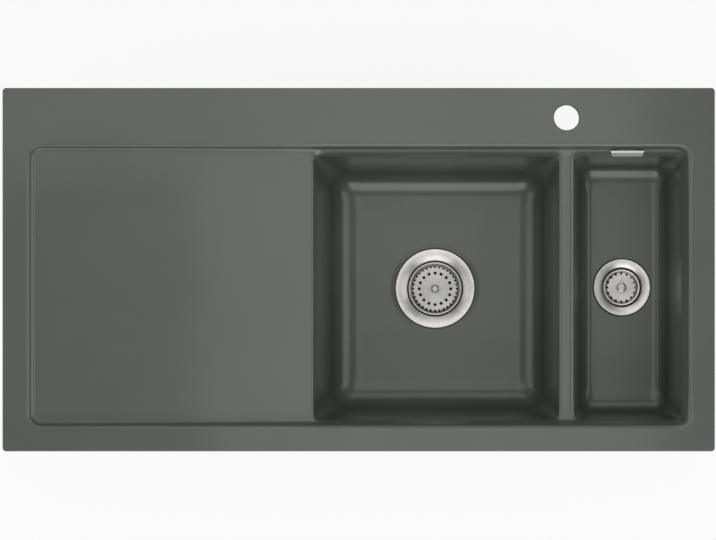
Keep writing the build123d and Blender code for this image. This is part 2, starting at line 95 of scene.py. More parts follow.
# %% [markdown]
# A few small helpers make every mesh. Two of them number the faces of a grid of points, row by
# row. One takes an array of points and an array of faces with four corners each, and keeps only
# the points that a face uses. The last gives the mesh an object, a finish, the body it rides on
# and the solids it stands for.

# %% Mesh helpers
MM = 0.001
SEAM = 1e-6


def open_faces(rows, columns):
    """Faces of a sheet: each point with the next ones along its row and its column."""
    n = np.arange(rows * columns).reshape(rows, columns)
    return np.stack([n[:-1, :-1], n[1:, :-1], n[1:, 1:], n[:-1, 1:]], -1)


def closed_faces(rows, columns):
    """Faces of a grid that closes on itself both ways, as the skin of a ring does."""
    n = np.arange(rows * columns).reshape(rows, columns)
    turn = np.roll(n, -1, axis=1)
    return np.stack([n, turn, np.roll(turn, -1, axis=0), np.roll(n, -1, axis=0)], -1)


def close_seams(mesh):
    """Joins points that lie on each other, drops lines with no face and turns faces outwards."""
    work = bmesh.new()
    work.from_mesh(mesh)
    bmesh.ops.remove_doubles(work, verts=work.verts, dist=SEAM)
    loose = [edge for edge in work.edges if not edge.link_faces]
    bmesh.ops.delete(work, geom=loose, context="EDGES")
    bmesh.ops.recalc_face_normals(work, faces=work.faces)
    work.to_mesh(mesh)
    work.free()


def mesh_of(name, points, quads, weld=False):
    """Mesh from points in millimetres and faces of four point numbers; weld closes its seams."""
    used, quads = np.unique(quads, return_inverse=True)
    quads = quads.reshape(-1, 4).astype(np.int32)
    mesh = bpy.data.meshes.new(name)
    mesh.vertices.add(len(used))
    mesh.vertices.foreach_set("co", (points.reshape(-1, 3)[used] * MM).astype(np.float32).ravel())
    mesh.loops.add(quads.size)
    mesh.loops.foreach_set("vertex_index", quads.ravel())
    mesh.polygons.add(len(quads))
    mesh.polygons.foreach_set("loop_start", np.arange(0, quads.size, 4, dtype=np.int32))
    mesh.update(calc_edges=True)
    if weld:
        close_seams(mesh)
    mesh.polygons.foreach_set("use_smooth", np.ones(len(mesh.polygons), bool))
    return mesh


def piece(name, mesh, finish, body, slot, *nodes):
    """Object for a finished mesh: its material, its body and the solids it stands for; slot is not
    used.
    """
    made = bpy.data.objects.new("finished_" + name, mesh)
    bpy.context.scene.collection.objects.link(made)
    mesh.materials.append(finish)
    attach(made, body)
    if nodes:
        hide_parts(*nodes)
    print(name, len(mesh.vertices), "points", len(mesh.polygons), "faces")
    return made


print("a sheet of 4 by 3 points has", open_faces(4, 3).size // 4, "faces")

# %% [markdown]
# A finish is a node material. Real glaze, steel and plastic are never one flat colour, so each
# finish takes its colour between two close shades from a noise pattern, varies its gloss a little
# with a second one, and gets a fine relief from a third. All patterns read object coordinates,
# which are metres here, so a scale of 50 repeats about every 20 mm.

# %% Finish helper
def linear(r, g, b):
    """Linear colour from eight-bit screen values."""
    c = np.array([r, g, b]) / 255.0
    c = np.where(c <= 0.04045, c / 12.92, ((c + 0.055) / 1.055) ** 2.4)
    return (*c.tolist(), 1.0)


class Finish:
    """A node material with short calls for the patterns used here."""

    def __init__(self, name, **sockets):
        self.material = bpy.data.materials.new(name)
        self.material.use_nodes = True
        self.nodes = self.material.node_tree.nodes
        self.links = self.material.node_tree.links
        self.shader = self.nodes["Principled BSDF"]
        for socket, value in sockets.items():
            self.shader.inputs[socket.replace("_", " ")].default_value = value
        self.place = self.add("ShaderNodeTexCoord").outputs["Object"]

    def add(self, kind, **values):
        """A new node with these properties."""
        node = self.nodes.new(kind)
        for key, value in values.items():
            setattr(node, key, value)
        return node

    def moved(self, location=(0, 0, 0), scale=(1, 1, 1)):
        """Object coordinates, moved so that a place on the sink becomes their middle."""
        node = self.add("ShaderNodeMapping")
        node.inputs["Location"].default_value = [-a * b for a, b in zip(location, scale)]
        node.inputs["Scale"].default_value = scale
        self.links.new(self.place, node.inputs["Vector"])
        return node.outputs["Vector"]

    def noise(self, scale, detail=4.0, rough=0.5, vector=None):
        """Cloudy pattern, with its scale in repeats per metre."""
        node = self.add("ShaderNodeTexNoise")
        node.inputs["Scale"].default_value = scale
        node.inputs["Detail"].default_value = detail
        node.inputs["Roughness"].default_value = rough
        self.links.new(vector or self.place, node.inputs["Vector"])
        return node.outputs["Fac"]

    def between(self, value, low, high, start=0.3, end=0.7):
        """A number that runs from low to high as the pattern does from start to end."""
        node = self.add("ShaderNodeMapRange")
        for name, number in zip(("From Min", "From Max", "To Min", "To Max"),
                                (start, end, low, high)):
            node.inputs[name].default_value = number
        self.links.new(value, node.inputs["Value"])
        return node.outputs["Result"]

    def shades(self, value, *stops):
        """Colour from (place, colour) stops along a pattern."""
        ramp = self.add("ShaderNodeValToRGB")
        marks = ramp.color_ramp.elements
        while len(marks) < len(stops):
            marks.new(0.5)
        for mark, (at, colour) in zip(marks, stops):
            mark.position, mark.color = at, colour
        self.links.new(value, ramp.inputs["Fac"])
        return ramp.outputs["Color"]

    def to(self, output, socket):
        """Links a pattern to a socket of the shader."""
        self.links.new(output, self.shader.inputs[socket])

    def relief(self, value, depth, strength=1.0, under=None):
        """Bump of a real depth in metres, on top of another one if given."""
        node = self.add("ShaderNodeBump")
        node.inputs["Distance"].default_value = depth
        node.inputs["Strength"].default_value = strength
        self.links.new(value, node.inputs["Height"])
        if under:
            self.links.new(under, node.inputs["Normal"])
        return node.outputs["Normal"]


print("mid grey is", round(linear(128, 128, 128)[0], 3), "of the light")

# %% [markdown]
# The glaze is a satin grey-green. Thick glaze flows before it sets, which leaves it a shade
# lighter and darker in soft clouds, with a faint orange-peel relief. A thin clear coat over the
# satin body gives the finer glints along the edges. The underside is raw clay slip, a paler grey
# with no gloss and a sandy grain.

# %% Glaze finishes
def glaze_finish():
    """Satin glaze under a thin clear coat."""
    f = Finish("satin_glaze", Specular_IOR_Level=0.5, Coat_Weight=0.5, Coat_Roughness=0.11)
    clouds = f.noise(7.0, 3.0)
    f.to(f.shades(clouds, (0.35, linear(78, 83, 75)), (0.65, linear(82, 87, 79))), "Base Color")
    f.to(f.between(f.noise(38.0, 5.0), 0.31, 0.37), "Roughness")
    peel = f.relief(f.noise(520.0, 2.0), 0.00002, 0.4)
    f.to(f.relief(f.noise(60.0, 2.0), 0.00004, 0.3, peel), "Normal")
    return f.material


def raw_finish():
    """Dull sandy clay slip."""
    f = Finish("raw_underside", Specular_IOR_Level=0.25)
    f.to(f.shades(f.noise(24.0, 6.0), (0.3, linear(112, 112, 106)), (0.7, linear(126, 125, 118))),
         "Base Color")
    f.to(f.between(f.noise(90.0, 3.0), 0.68, 0.82), "Roughness")
    f.to(f.relief(f.noise(900.0, 4.0), 0.00012, 0.6), "Normal")
    return f.material


satin_glaze = glaze_finish()
raw_underside = raw_finish()
print("finishes", satin_glaze.name, raw_underside.name)

# %% [markdown]
# The casting has steep bowls under a shallow tray, so two kinds of surface make it. The deck,
# tray, draining board and divider are a sheet whose height is looked up over a plan grid. Each
# bowl is a stack of rings, rounded rectangles that shrink on the way down, turn into circles
# round the waste, go through the floor and come up again outside. The grid has a gap where a bowl
# is, and the stack starts from the very points round that gap, so there is no seam.

# %% Sizes of the casting
half_length, half_width, outline_corner = 490.0, 250.0, 5.0
tray = (-455.0, 455.0, -215.0, 170.0)
back_slope = 35.0
tray_lean = np.tan(np.radians([40.0, 30.0, 25.0, back_slope]))
tray_corner, mouth_corner = 18.0, 8.0
divider_drop, board_start, board_end = 17.0, 7.0, 11.0
ceramic_wall, floor_thickness, deck_under, rim_under = 10.0, 17.0, -14.0, -10.0
main_depth, small_depth = 190.0, 140.0
main_mouth, divider_left, divider_right = 338.0, 10.0, 12.0

waste_low, waste_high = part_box("main_flange_cup")
main_x, waste_y = [(a + b) / 2 / MM for a, b in zip(waste_low, waste_high)][:2]
waste_low, waste_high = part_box("small_flange_cup")
small_x = (waste_low[0] + waste_high[0]) / 2 / MM
tap = [m for m in frame["record"]["mounts"] if m["name"] == "tap_hole"][0]["pos_m"]
tap_x, tap_y = tap[0] / MM, tap[1] / MM

mouth_front = tray[2] + divider_drop * tray_lean[2]
mouth_back = tray[3] - divider_drop * tray_lean[3]
small_right = tray[1] - divider_drop * tray_lean[1]
small_left, main_right = tap_x + divider_right, tap_x - divider_left
main_left = main_right - main_mouth
board_fall = (board_end - board_start) / (main_left - tray[0])
print("main bowl", round(main_left, 1), round(main_right, 1), "small", round(small_left, 1))

# %% [markdown]
# Every ring of a bowl is one row of six numbers: left, right, front, back, corner radius and
# height. Between the mouth row and the floor row the wall is straight, so a row at any height is
# a straight mix of the two. The foot is a conic from wall to floor, a mix of three rows, and it
# reaches further along the floor than up the wall. Round the waste the floor dips into a shallow
# dish, and inside that lies the rebate for the steel flange.

# %% Rows of a bowl
foot_corner, outer_start = 3.5, -12.0


class Bowl:
    """Rows of one bowl at its mouth and floor, inside and outside, and the sizes of foot and well.

    The foot rises by foot and reaches over the floor by spread: (at the sides, at front and back).
    A dish of (width, drop) surrounds the rebate and the hole, which are given as radii.
    """

    def __init__(self, left, right, middle, depth, leans, foot, spread, dish, rebate, hole):
        fall = (depth - divider_drop) * np.tan(np.radians(leans)) * np.array([1, -1, 1, -1])
        self.mouth = np.array([left, right, mouth_front, mouth_back, mouth_corner, -divider_drop])
        self.floor = np.array([*(self.mouth[:4] + fall), foot + foot_corner, -depth])
        grown = np.array([-1, 1, -1, 1, 1, 0]) * ceramic_wall
        self.outer_mouth, self.outer_floor = self.mouth + grown, self.floor + grown
        self.outer_mouth[5], self.outer_floor[5] = outer_start, -depth - floor_thickness
        self.centre, self.depth, self.foot, self.spread = (middle, waste_y), depth, foot, spread
        self.dish, self.rebate, self.hole = dish, rebate, hole

    def rows(self, heights, outer=False):
        """Rows at these heights: mouth + share * (floor - mouth)."""
        top, foot = (self.outer_mouth, self.outer_floor) if outer else (self.mouth, self.floor)
        share = (np.asarray(heights, float) - top[5]) / (foot[5] - top[5])
        return top + share[..., None] * (foot - top)


def conic(first, corner, last, count, weight=0.737):
    """Rational curve of first, weight * corner and last: a round arc without its end points."""
    t = np.linspace(0, 1, count + 2)[1:-1, None]
    a, b, c = (1 - t) ** 2, 2 * weight * t * (1 - t), t ** 2
    return (a * first + b * corner + c * last) / (a + b + c)


def inset(row, by):
    """The same row with each side and its corner moved inwards."""
    return row + np.array([by, -by, by, -by, -by, 0])


main_bowl = Bowl(main_left, main_right, main_x, main_depth, leans=(6.85, 5.0, 4.7, 4.0),
                 foot=27.0, spread=(38.0, 42.0), dish=(6.6, 0.9), rebate=59.5, hole=49.0)
small_bowl = Bowl(small_left, small_right, small_x, small_depth, leans=(8.6, 3.5, 4.2, 2.5),
                  foot=16.5, spread=(16.5, 36.0), dish=(0.5, 0.1), rebate=42.0, hole=34.0)
print("main floor", np.round(main_bowl.floor, 1), "small floor", np.round(small_bowl.floor, 1))

# %% [markdown]
# The sheet's height comes from distances. Each hollow (the tray, a bowl, the air over the deck)
# has a function that is negative inside it and grows with the distance outside. Joining two of
# them with a rounded rule gives the soft edges that glaze leaves. The height over a plan point is
# then found by halving the span that holds the change of sign.

# %% Distance rules
def rounded_box(x, y, row):
    """Plan distance past a rounded rectangle's sides, or past the arc of a corner."""
    left, right, front, back, corner = [row[..., k] for k in range(5)]
    across = np.maximum(left - x, x - right) + corner
    along = np.maximum(front - y, y - back) + corner
    arc = np.hypot(np.maximum(across, 0), np.maximum(along, 0))
    return np.minimum(np.maximum(across, along), 0) + arc - corner


def joined(a, b, r):
    """Either of two shapes, with the edge where they meet rounded by r."""
    return np.maximum(r, np.minimum(a, b)) - np.hypot(np.maximum(r - a, 0), np.maximum(r - b, 0))


def shared(a, b, r):
    """Only what lies in both shapes, with their common edge rounded by r."""
    return np.minimum(-r, np.maximum(a, b)) + np.hypot(np.maximum(r + a, 0), np.maximum(r + b, 0))


def ramp(x, start, end):
    """Smooth step from 0 to 1."""
    t = np.clip((x - start) / (end - start), 0, 1)
    return t * t * (3 - 2 * t)


def board_height(x):
    """Draining board, falling towards the main bowl, then down to the divider's level."""
    board = -board_start - (x - tray[0]) * board_fall
    return board + (-divider_drop - board) * ramp(x, main_left + 3, main_left + 22)


def heights(rule, x, y, low, high):
    """Height at which a rule changes sign over each plan point, by halving."""
    low, high = np.full_like(x, low), np.full_like(x, high)
    for _ in range(34):
        middle = (low + high) / 2
        above = rule(x, y, middle) < 0
        high, low = np.where(above, middle, high), np.where(above, low, middle)
    return (low + high) / 2


print("board", board_height(np.array([-440.0, -70.0, 0.0])).round(2))

# %% [markdown]
# The upper rule joins the air, the tray and both bowls. The radius of a joint is not the same all
# the way round: the lip of the draining board is crisp, the divider is full, and where a slanted
# tray wall runs on into a bowl wall there is only a soft bend.

# %% Upper rule
UPPER_SPAN = (-60.0, 1.0)
back_wall_drop = [-20.0, 8.5, 15.5, 18.0, 80.0]
back_wall_in = [-7.3, 3.1, 11.5, 12.0, 16.0]
board_fillet, divider_edge = 2.2, 6.0


def tray_rule(x, y, z):
    """Slanted walls over the draining board, with a ledge at the back; corners tighten downwards."""
    deep = z[..., None] * tray_lean
    back = np.interp(-z, back_wall_drop, back_wall_in)
    corner = np.maximum(tray_corner + z * (tray_corner - mouth_corner) / divider_drop, 4.0)
    row = np.stack([tray[0] - deep[..., 0], tray[1] + deep[..., 1],
                    tray[2] - deep[..., 2], tray[3] - back, corner], -1)
    square = 0.766 + 0.108 * ramp(x, tray[0] + 12, tray[0] + 45)
    return shared(rounded_box(x, y, row) * square, board_height(x) - z, board_fillet)


def upper_rule(x, y, z):
    """Negative in the open space over the glaze."""
    near_wall = ramp(np.maximum(mouth_front - y, y - mouth_back), -16.0, -3.0)
    soft_bend = 2.0 + 4.5 * ramp(y, 0.0, mouth_back)
    main_edge = 4.2 + 1.8 * ramp(x, main_left + 40, main_right - 40)
    main_edge = main_edge + (soft_bend - main_edge) * near_wall
    near_right = np.maximum(near_wall, ramp(x, small_left + 40, small_right - 40))
    small_edge = divider_edge + (soft_bend - divider_edge) * near_right
    space = joined(tray_rule(x, y, z), rounded_box(x, y, main_bowl.rows(z)), main_edge)
    space = joined(space, rounded_box(x, y, small_bowl.rows(z)), small_edge)
    at_bowls = ramp(x, main_left - 30, main_left + 10)
    deck_edge = 1.1 + 1.0 * ramp(x, tray[0] + 5, tray[0] + 40)
    deck_edge = deck_edge + at_bowls * (2.4 * ramp(-y, 150.0, 200.0) + 1.6 * ramp(y, 100.0, 150.0))
    return joined(space, -z, deck_edge)


probe_x, probe_y = np.array([-250.0, tap_x]), np.zeros(2)
print("board and divider", heights(upper_rule, probe_x, probe_y, *UPPER_SPAN).round(2))

# %% [markdown]
# The lower rule is the clay as seen from below: a thin rim, a thicker deck, a pan under the
# draining board, the outsides of both bowls, and a block that carries the overflow slot squarely
# through the slanted back wall. It is out of sight once the sink is fitted, so its joints are
# plain fillets.

# %% Lower rule
LOWER_SPAN = (-75.0, -9.0)
overflow_offset, overflow_drop = -7.0, 11.0
overflow_x, overflow_y = small_x + overflow_offset, tray[3] - overflow_drop * tray_lean[3]
wall_up = np.array([math.sin(math.radians(back_slope)), math.cos(math.radians(back_slope))])
boss_half, boss_rise, boss_out = 22.0, 11.0, 30.0
deck_inset, deck_corner, pan_start, pan_corner = 24.0, 18.0, -12.0, 12.0
deck_row = np.array([deck_inset - half_length, half_length - deck_inset,
                     deck_inset - half_width, half_width - deck_inset, deck_corner])


def boss_rule(x, y, z):
    """Block square to the slanted back wall, behind the overflow slot."""
    dy, dz = y - overflow_y, z + overflow_drop
    up = dy * wall_up[0] + dz * wall_up[1]
    out = dy * wall_up[1] - dz * wall_up[0]
    block = shared(np.abs(x - overflow_x) - boss_half, np.abs(up) - boss_rise, 1.5)
    return shared(block, out - boss_out, 1.0)


def lower_rule(x, y, z):
    """Negative in the clay: rim, deck, draining board, both bowls and the overflow boss."""
    deck = shared(deck_under - z, rounded_box(x, y, np.broadcast_to(deck_row, (*x.shape, 5))), 2.0)
    slope = pan_start - z
    pan = np.stack([tray[0] + slope, main_left + ceramic_wall - slope, tray[2] + slope,
                    tray[3] - slope, np.full_like(x, pan_corner)], -1)
    pan = shared(board_height(np.minimum(x, main_left)) - ceramic_wall - z,
                 rounded_box(x, y, pan) * 0.7, 2.0)
    clay = joined(joined(rim_under - z, deck, 2.0), pan, 3.0)
    clay = joined(clay, rounded_box(x, y, main_bowl.rows(z, True)), 7.0)
    clay = joined(clay, rounded_box(x, y, small_bowl.rows(z, True)), 5.0)
    return joined(clay, boss_rule(x, y, z), 1.5)


print("under the board", heights(lower_rule, probe_x[:1], probe_y[:1], *LOWER_SPAN).round(2))

# %% [markdown]
# The plan grid is one set of lines from left to right and one from front to back. Lines crowd
# together where the surface bends. Near the corner of a bowl they are bent so that the gap in the
# grid is a rounded rectangle, and round the tap hole and the overflow slot they are pulled to a
# ring. Both sides of the casting use the same line numbers, so their gaps match point by point.

# %% Grid lines
def even(a, b, n):
    """Evenly spaced lines from a, without b itself."""
    return np.linspace(a, b, n, endpoint=False)


def closing(a, b, n):
    """Lines that draw together towards b, as the sine does."""
    return a + (b - a) * np.sin(np.arange(n) / n * np.pi / 2)


def starting(a, b, n):
    """Lines that spread out from a, as one minus the cosine does."""
    return a + (b - a) * (1 - np.cos(np.arange(n) / n * np.pi / 2))


BEND, EDGE = 5, 3


def bent(r, n):
    """Insets of lines that meet a rounded corner at even angles: nought, then r * (1 - sine)."""
    insets = r * (1 - np.sin(np.radians(np.linspace(45, 0, n + 1))))
    insets[0] = 0
    return insets


def length_lines(edge, round_, wall, lip, main, small, slot, end):
    """Lines from the left edge to the right one."""
    (ml, mr, mc), (sl, sr, sc) = main, small
    half = (mr + sl) / 2
    return np.concatenate([
        -edge + bent(round_, EDGE)[:-1], even(-edge + round_, wall[0], 4), even(*wall, 25),
        even(wall[1], lip, 26), closing(lip, ml, 14),
        ml + bent(mc, BEND)[:-1], even(ml + mc, mr - mc, 38), mr - bent(mc, BEND)[:0:-1],
        starting(mr, half, 9), closing(half, sl, 9),
        sl + bent(sc, BEND)[:-1], closing(sl + sc, slot[0], 9), even(*slot, 10),
        starting(slot[1], sr - sc, 9), sr - bent(sc, BEND)[:0:-1],
        even(sr, end, 18), even(end, edge - round_, 4), edge - bent(round_, EDGE)[::-1]])


def width_lines(edge, round_, front, mouth, slot, rim, tap_span, spread):
    """Lines from the front edge to the back one."""
    low, high, corner = mouth
    return np.concatenate([
        -edge + bent(round_, EDGE)[:-1], even(-edge + round_, front, 4), even(front, low, 18),
        low + bent(corner, BEND)[:-1], even(low + corner, high - corner, 42),
        high - bent(corner, BEND)[:0:-1],
        even(high, slot[0], 8), even(*slot, 6), even(slot[1], rim, 12), even(rim, tap_span[0], 4),
        spread(*tap_span, 12), even(tap_span[1], edge - round_, 5),
        edge - bent(round_, EDGE)[::-1]])


# Numbers of the lines round each gap, counted off in the two functions above.
MAIN_BLOCK, SMALL_BLOCK = (72, 120, 25, 77), (138, 176, 25, 77)
TAP_BLOCK, SLOT_BLOCK = (115, 143, 107, 119), (152, 162, 85, 91)


def around(block):
    """Line numbers round a block, from its front left corner: front, right, back, left."""
    i0, i1, j0, j1 = block
    i = np.concatenate([np.arange(i0, i1), np.full(j1 - j0, i1),
                        np.arange(i1, i0, -1), np.full(j1 - j0, i0)])
    j = np.concatenate([np.full(i1 - i0, j0), np.arange(j0, j1),
                        np.full(i1 - i0, j1), np.arange(j1, j0, -1)])
    return i, j


print("points round the main bowl's gap", len(around(MAIN_BLOCK)[0]))

# %% [markdown]
# A ring of a stack needs a point for each point round its gap. Along a side the outline first
# turns out of a corner, then runs straight, then turns into the next corner, so each point keeps
# the direction it faces and how far along the straight part it lies. With those, any row gives
# its ring in one formula.

# %% Ring points
def side(lines, n):
    """(angle turned, share of the straight part) for each line of a side but the last."""
    count = len(lines) - 1
    k = np.arange(count)
    angle = np.clip((k - count + n) / n, 0, 1) - np.clip(1 - k / n, 0, 1)
    share = np.clip((lines[:-1] - lines[n]) / (lines[count - n] - lines[n]), 0, 1)
    return np.radians(45) * angle, share


def facing(xs, ys, block, n):
    """Share of the straight part and facing direction, for each point round a block."""
    i0, i1, j0, j1 = block
    front, fs = side(xs[i0:i1 + 1], n)
    right, rs = side(ys[j0:j1 + 1], n)
    back, bs = side(-xs[i0:i1 + 1][::-1], n)
    left, ls = side(-ys[j0:j1 + 1][::-1], n)
    share_x = np.concatenate([fs, np.ones_like(rs), 1 - bs, np.zeros_like(ls)])
    share_y = np.concatenate([np.zeros_like(fs), rs, np.ones_like(bs), 1 - ls])
    out_x = np.concatenate([np.sin(front), np.cos(right), -np.sin(back), -np.cos(left)])
    out_y = np.concatenate([-np.cos(front), np.sin(right), np.cos(back), -np.sin(left)])
    return share_x, share_y, out_x, out_y


def rings(rows, face):
    """Points of each row's ring: corner centre along the straight part, plus radius times facing."""
    share_x, share_y, out_x, out_y = face
    left, right, front, back, r, z = [np.atleast_2d(rows)[:, k, None] for k in range(6)]
    x = left + r + share_x * (right - left - 2 * r) + r * out_x
    y = front + r + share_y * (back - front - 2 * r) + r * out_y
    return np.stack([x, y, np.broadcast_to(z, x.shape)], -1)


print("turns along a side of nine lines", np.degrees(side(np.arange(9.0), 2)[0]).round(1))

# %% [markdown]
# Near a gap the straight lines have to bend. At a bowl's corner the bend fades out over a few
# millimetres beyond the gap. Round the tap hole and the slot the lines are pulled to a ring, and
# the pull fades out over about half of the ring's size.

# %% Bends round a gap
CORNER_REACH = 9.0


def fade(lines, at, reach, sign):
    """1 at a gap's edge, falling to 0 within reach outside it, and 0 inside the gap."""
    away = sign * (at - lines)
    return np.where(away >= -1e-9, np.clip(1 - away / reach, 0, 1) ** 2, 0)


def corner_drop(lines, low, high, n, r):
    """How far the outline has drawn in at each line across a gap, and the fade beside it."""
    drop, place = np.zeros(len(lines)), np.arange(len(lines))
    turn = r * (1 - np.cos(np.radians(np.linspace(45, 0, n + 1))))
    drop[low:low + n + 1] = turn
    drop[high - n:high + 1] = turn[::-1]
    before = np.where(place < low, fade(lines, lines[low], CORNER_REACH, 1), 0)
    after = np.where(place > high, fade(lines, lines[high], CORNER_REACH, -1), 0)
    return drop + turn[0] * (before + after)


def bend_to_bowl(x, y, xs, ys, block, r):
    """Moves the grid near a bowl's gap so that its corners are round."""
    i0, i1, j0, j1 = block
    drop_x, drop_y = corner_drop(xs, i0, i1, BEND, r), corner_drop(ys, j0, j1, BEND, r)
    y += np.outer(drop_x, fade(ys, ys[j0], CORNER_REACH, 1) - fade(ys, ys[j1], CORNER_REACH, -1))
    x += np.outer(fade(xs, xs[i0], CORNER_REACH, 1) - fade(xs, xs[i1], CORNER_REACH, -1), drop_y)


def to_ring(u, v, wide, deep, straight, radius, reach):
    """Moves points round a gap of half size (wide, deep) onto a ring about a straight core along u."""
    size = np.maximum(np.abs(u) / wide, np.abs(v) / deep)
    core = np.clip(u, -straight, straight)
    far = np.maximum(np.hypot(u - core, v), 1e-9)
    weight = np.clip((reach - size) / (reach - 1), 0, 1) * (size > 0.99)
    ring_u, ring_v = core + (u - core) / far * radius * size, v / far * radius * size
    return u + weight * (ring_u - u), v + weight * (ring_v - v)


def pull_to_ring(x, y, block, centre, straight, radius, squeeze, reach):
    """Moves the grid round a block onto a ring; squeeze is how much the plan shortens it."""
    i0, i1, j0, j1 = block
    u, v = x - centre[0], (y - centre[1]) / squeeze
    wide = np.where(u > 0, x[i1, j0] - centre[0], centre[0] - x[i0, j0])
    deep = np.where(v > 0, y[i0, j1] - centre[1], centre[1] - y[i0, j0]) / squeeze
    u, v = to_ring(u, v, wide, deep, straight, radius, reach)
    x[:], y[:] = centre[0] + u, centre[1] + v * squeeze


one = np.ones(1)
print("a square's corner on its ring", np.round(to_ring(one, one, 1, 1, 0, 1, 1.5), 3).ravel())

# %% [markdown]
# Now the two sheets. The upper one meets the bowls 9 mm below the divider's top, where their walls
# are straight. The lower one meets them 45 mm down, past the fillet under the deck. The lines
# crowd at other places above and below, so each sheet has its own set of places.

# %% Upper and lower sheets
UPPER_MEET, LOWER_MEET = -26.0, -45.0
top_round, under_round = 1.5, 1.0
tap_radius, tap_round, tap_break = 17.5, 1.5, 0.5
slot_straight, slot_radius = 11.25, 3.75
slot_half, slot_plan = slot_straight + slot_radius, slot_radius * wall_up[0]


def plan(xs, ys, rows, edge_corner, holes):
    """Plan grid with its two bowl gaps, round outline corners, and ring holes."""
    x, y = np.meshgrid(xs, ys, indexing="ij")
    ends = (0, len(xs) - 1, 0, len(ys) - 1)
    for block, row in rows:
        bend_to_bowl(x, y, xs, ys, block, row[4])
    for hole in holes:
        pull_to_ring(x, y, *hole)
    edge_row = np.array([xs[0], xs[-1], ys[0], ys[-1], edge_corner, 0.0])
    for block, row, n in [(b, r, BEND) for b, r in rows] + [(ends, edge_row, EDGE)]:
        i, j = around(block)
        ring = rings(row, facing(xs, ys, block, n))[0]
        x[i, j], y[i, j] = ring[:, 0], ring[:, 1]
    return x, y


def sheet(main, small, edge, wall, lip, end, front, slot_y, rim, tap_span, tap_ring, spread,
          rule, span):
    """Points of one sheet and its lines.

    main and small are the rows of the bowls' gaps, and edge is the inset of the outline. Lines
    crowd at wall, lip, end, front and rim, and spread spaces them over the tap hole. The height of
    each point is where rule changes sign within span.
    """
    corner = outline_corner - edge
    xs = length_lines(half_length - edge, corner, wall, lip, main[[0, 1, 4]], small[[0, 1, 4]],
                      (overflow_x - slot_half, overflow_x + slot_half), end)
    ys = width_lines(half_width - edge, corner, front, (main[2], main[3], small[4]),
                     (slot_y - slot_plan, slot_y + slot_plan), rim, tap_span, spread)
    bowls = [(MAIN_BLOCK, main), (SMALL_BLOCK, small)]
    holes = [(TAP_BLOCK, (tap_x, tap_y), 0.0, tap_ring, 1.0, 1.5),
             (SLOT_BLOCK, (overflow_x, slot_y), slot_straight, slot_radius, wall_up[0], 1.6)]
    x, y = plan(xs, ys, bowls, corner, holes)
    z = heights(rule, x, y, *span)
    for block, row in bowls:
        z[around(block)] = row[5]
    return np.stack([x, y, z], -1), xs, ys


upper_points, upper_xs, upper_ys = sheet(
    main_bowl.rows(UPPER_MEET), small_bowl.rows(UPPER_MEET), edge=top_round, wall=(-461, -436),
    lip=-74, end=461, front=-221, slot_y=overflow_y, rim=176, tap_span=(tap_y - 16, tap_y + 19),
    tap_ring=tap_radius + tap_round, spread=even, rule=upper_rule, span=UPPER_SPAN)
lower_points, _, _ = sheet(
    main_bowl.rows(LOWER_MEET, True), small_bowl.rows(LOWER_MEET, True), edge=under_round,
    wall=(-470, -445), lip=-88, end=470, front=-229, slot_y=overflow_y + boss_out * wall_up[1],
    rim=192, tap_span=(tap_y - 16, tap_y + 20), tap_ring=tap_radius + tap_break, spread=closing,
    rule=lower_rule, span=LOWER_SPAN)
print("sheets", upper_points.shape, lower_points.shape,
      "lowest", upper_points[..., 2].min().round(1), lower_points[..., 2].min().round(1))

# %% [markdown]
# A stack is laid between a gap in the upper sheet and the same gap in the lower one. The first
# and last ring are the sheets' own points, and only the rings between are new.

# %% Stacks through the casting
count_x, count_y = upper_points.shape[:2]
numbers = np.arange(count_x * count_y).reshape(count_x, count_y)
all_points = [upper_points.reshape(-1, 3), lower_points.reshape(-1, 3)]
all_quads, quad_is_raw = [], []


def add_stack(block, between, raw_from, outside=False):
    """Faces from the upper gap through the given rings to the lower gap; later rows are raw clay."""
    i, j = around(block)
    start = sum(len(p) for p in all_points)
    new = start + np.arange(between.shape[0] * between.shape[1]).reshape(between.shape[:2])
    all_points.append(between.reshape(-1, 3))
    rows = np.vstack([numbers[i, j], new, numbers[i, j] + count_x * count_y])
    nxt = np.roll(rows, -1, axis=1)
    quads = np.stack([rows[:-1], nxt[:-1], nxt[1:], rows[1:]], -1)
    quads = quads[..., ::-1] if outside else quads
    all_quads.append(quads.reshape(-1, 4))
    quad_is_raw.append(np.repeat(np.arange(len(quads)) >= raw_from, quads.shape[1]))
    print("stack of", len(between), "rings,", len(all_quads[-1]), "faces")


def circles(centre, toward, profile):
    """Circles of (radius, height) whose points lie in the directions of another ring."""
    away = toward[:, :2] - centre
    away = away / np.hypot(*away.T)[:, None]
    r, z = np.array(profile, float).T
    flat = np.asarray(centre) + r[:, None, None] * away
    return np.concatenate([flat, np.broadcast_to(z[:, None, None], (*flat.shape[:2], 1))], -1)


def melt(first, last, count):
    """Rings in a straight mix from one to another; no end rings."""
    t = np.linspace(0, 1, count + 2)[1:-1, None, None]
    return first + t * (last - first)


print("points before the stacks", sum(len(p) for p in all_points))

# %% [markdown]
# A bowl's stack goes down the wall, round the foot, over the floor and into the well of the waste,
# where each edge is broken a little, as glaze rounds it. The glaze ends near the bottom of the
# hole. From there the rings go on in raw clay, under the floor and up the outside.

# %% Bowl stacks
rebate_drop, outer_foot, well_lip = 3.5, 25.0, 0.9


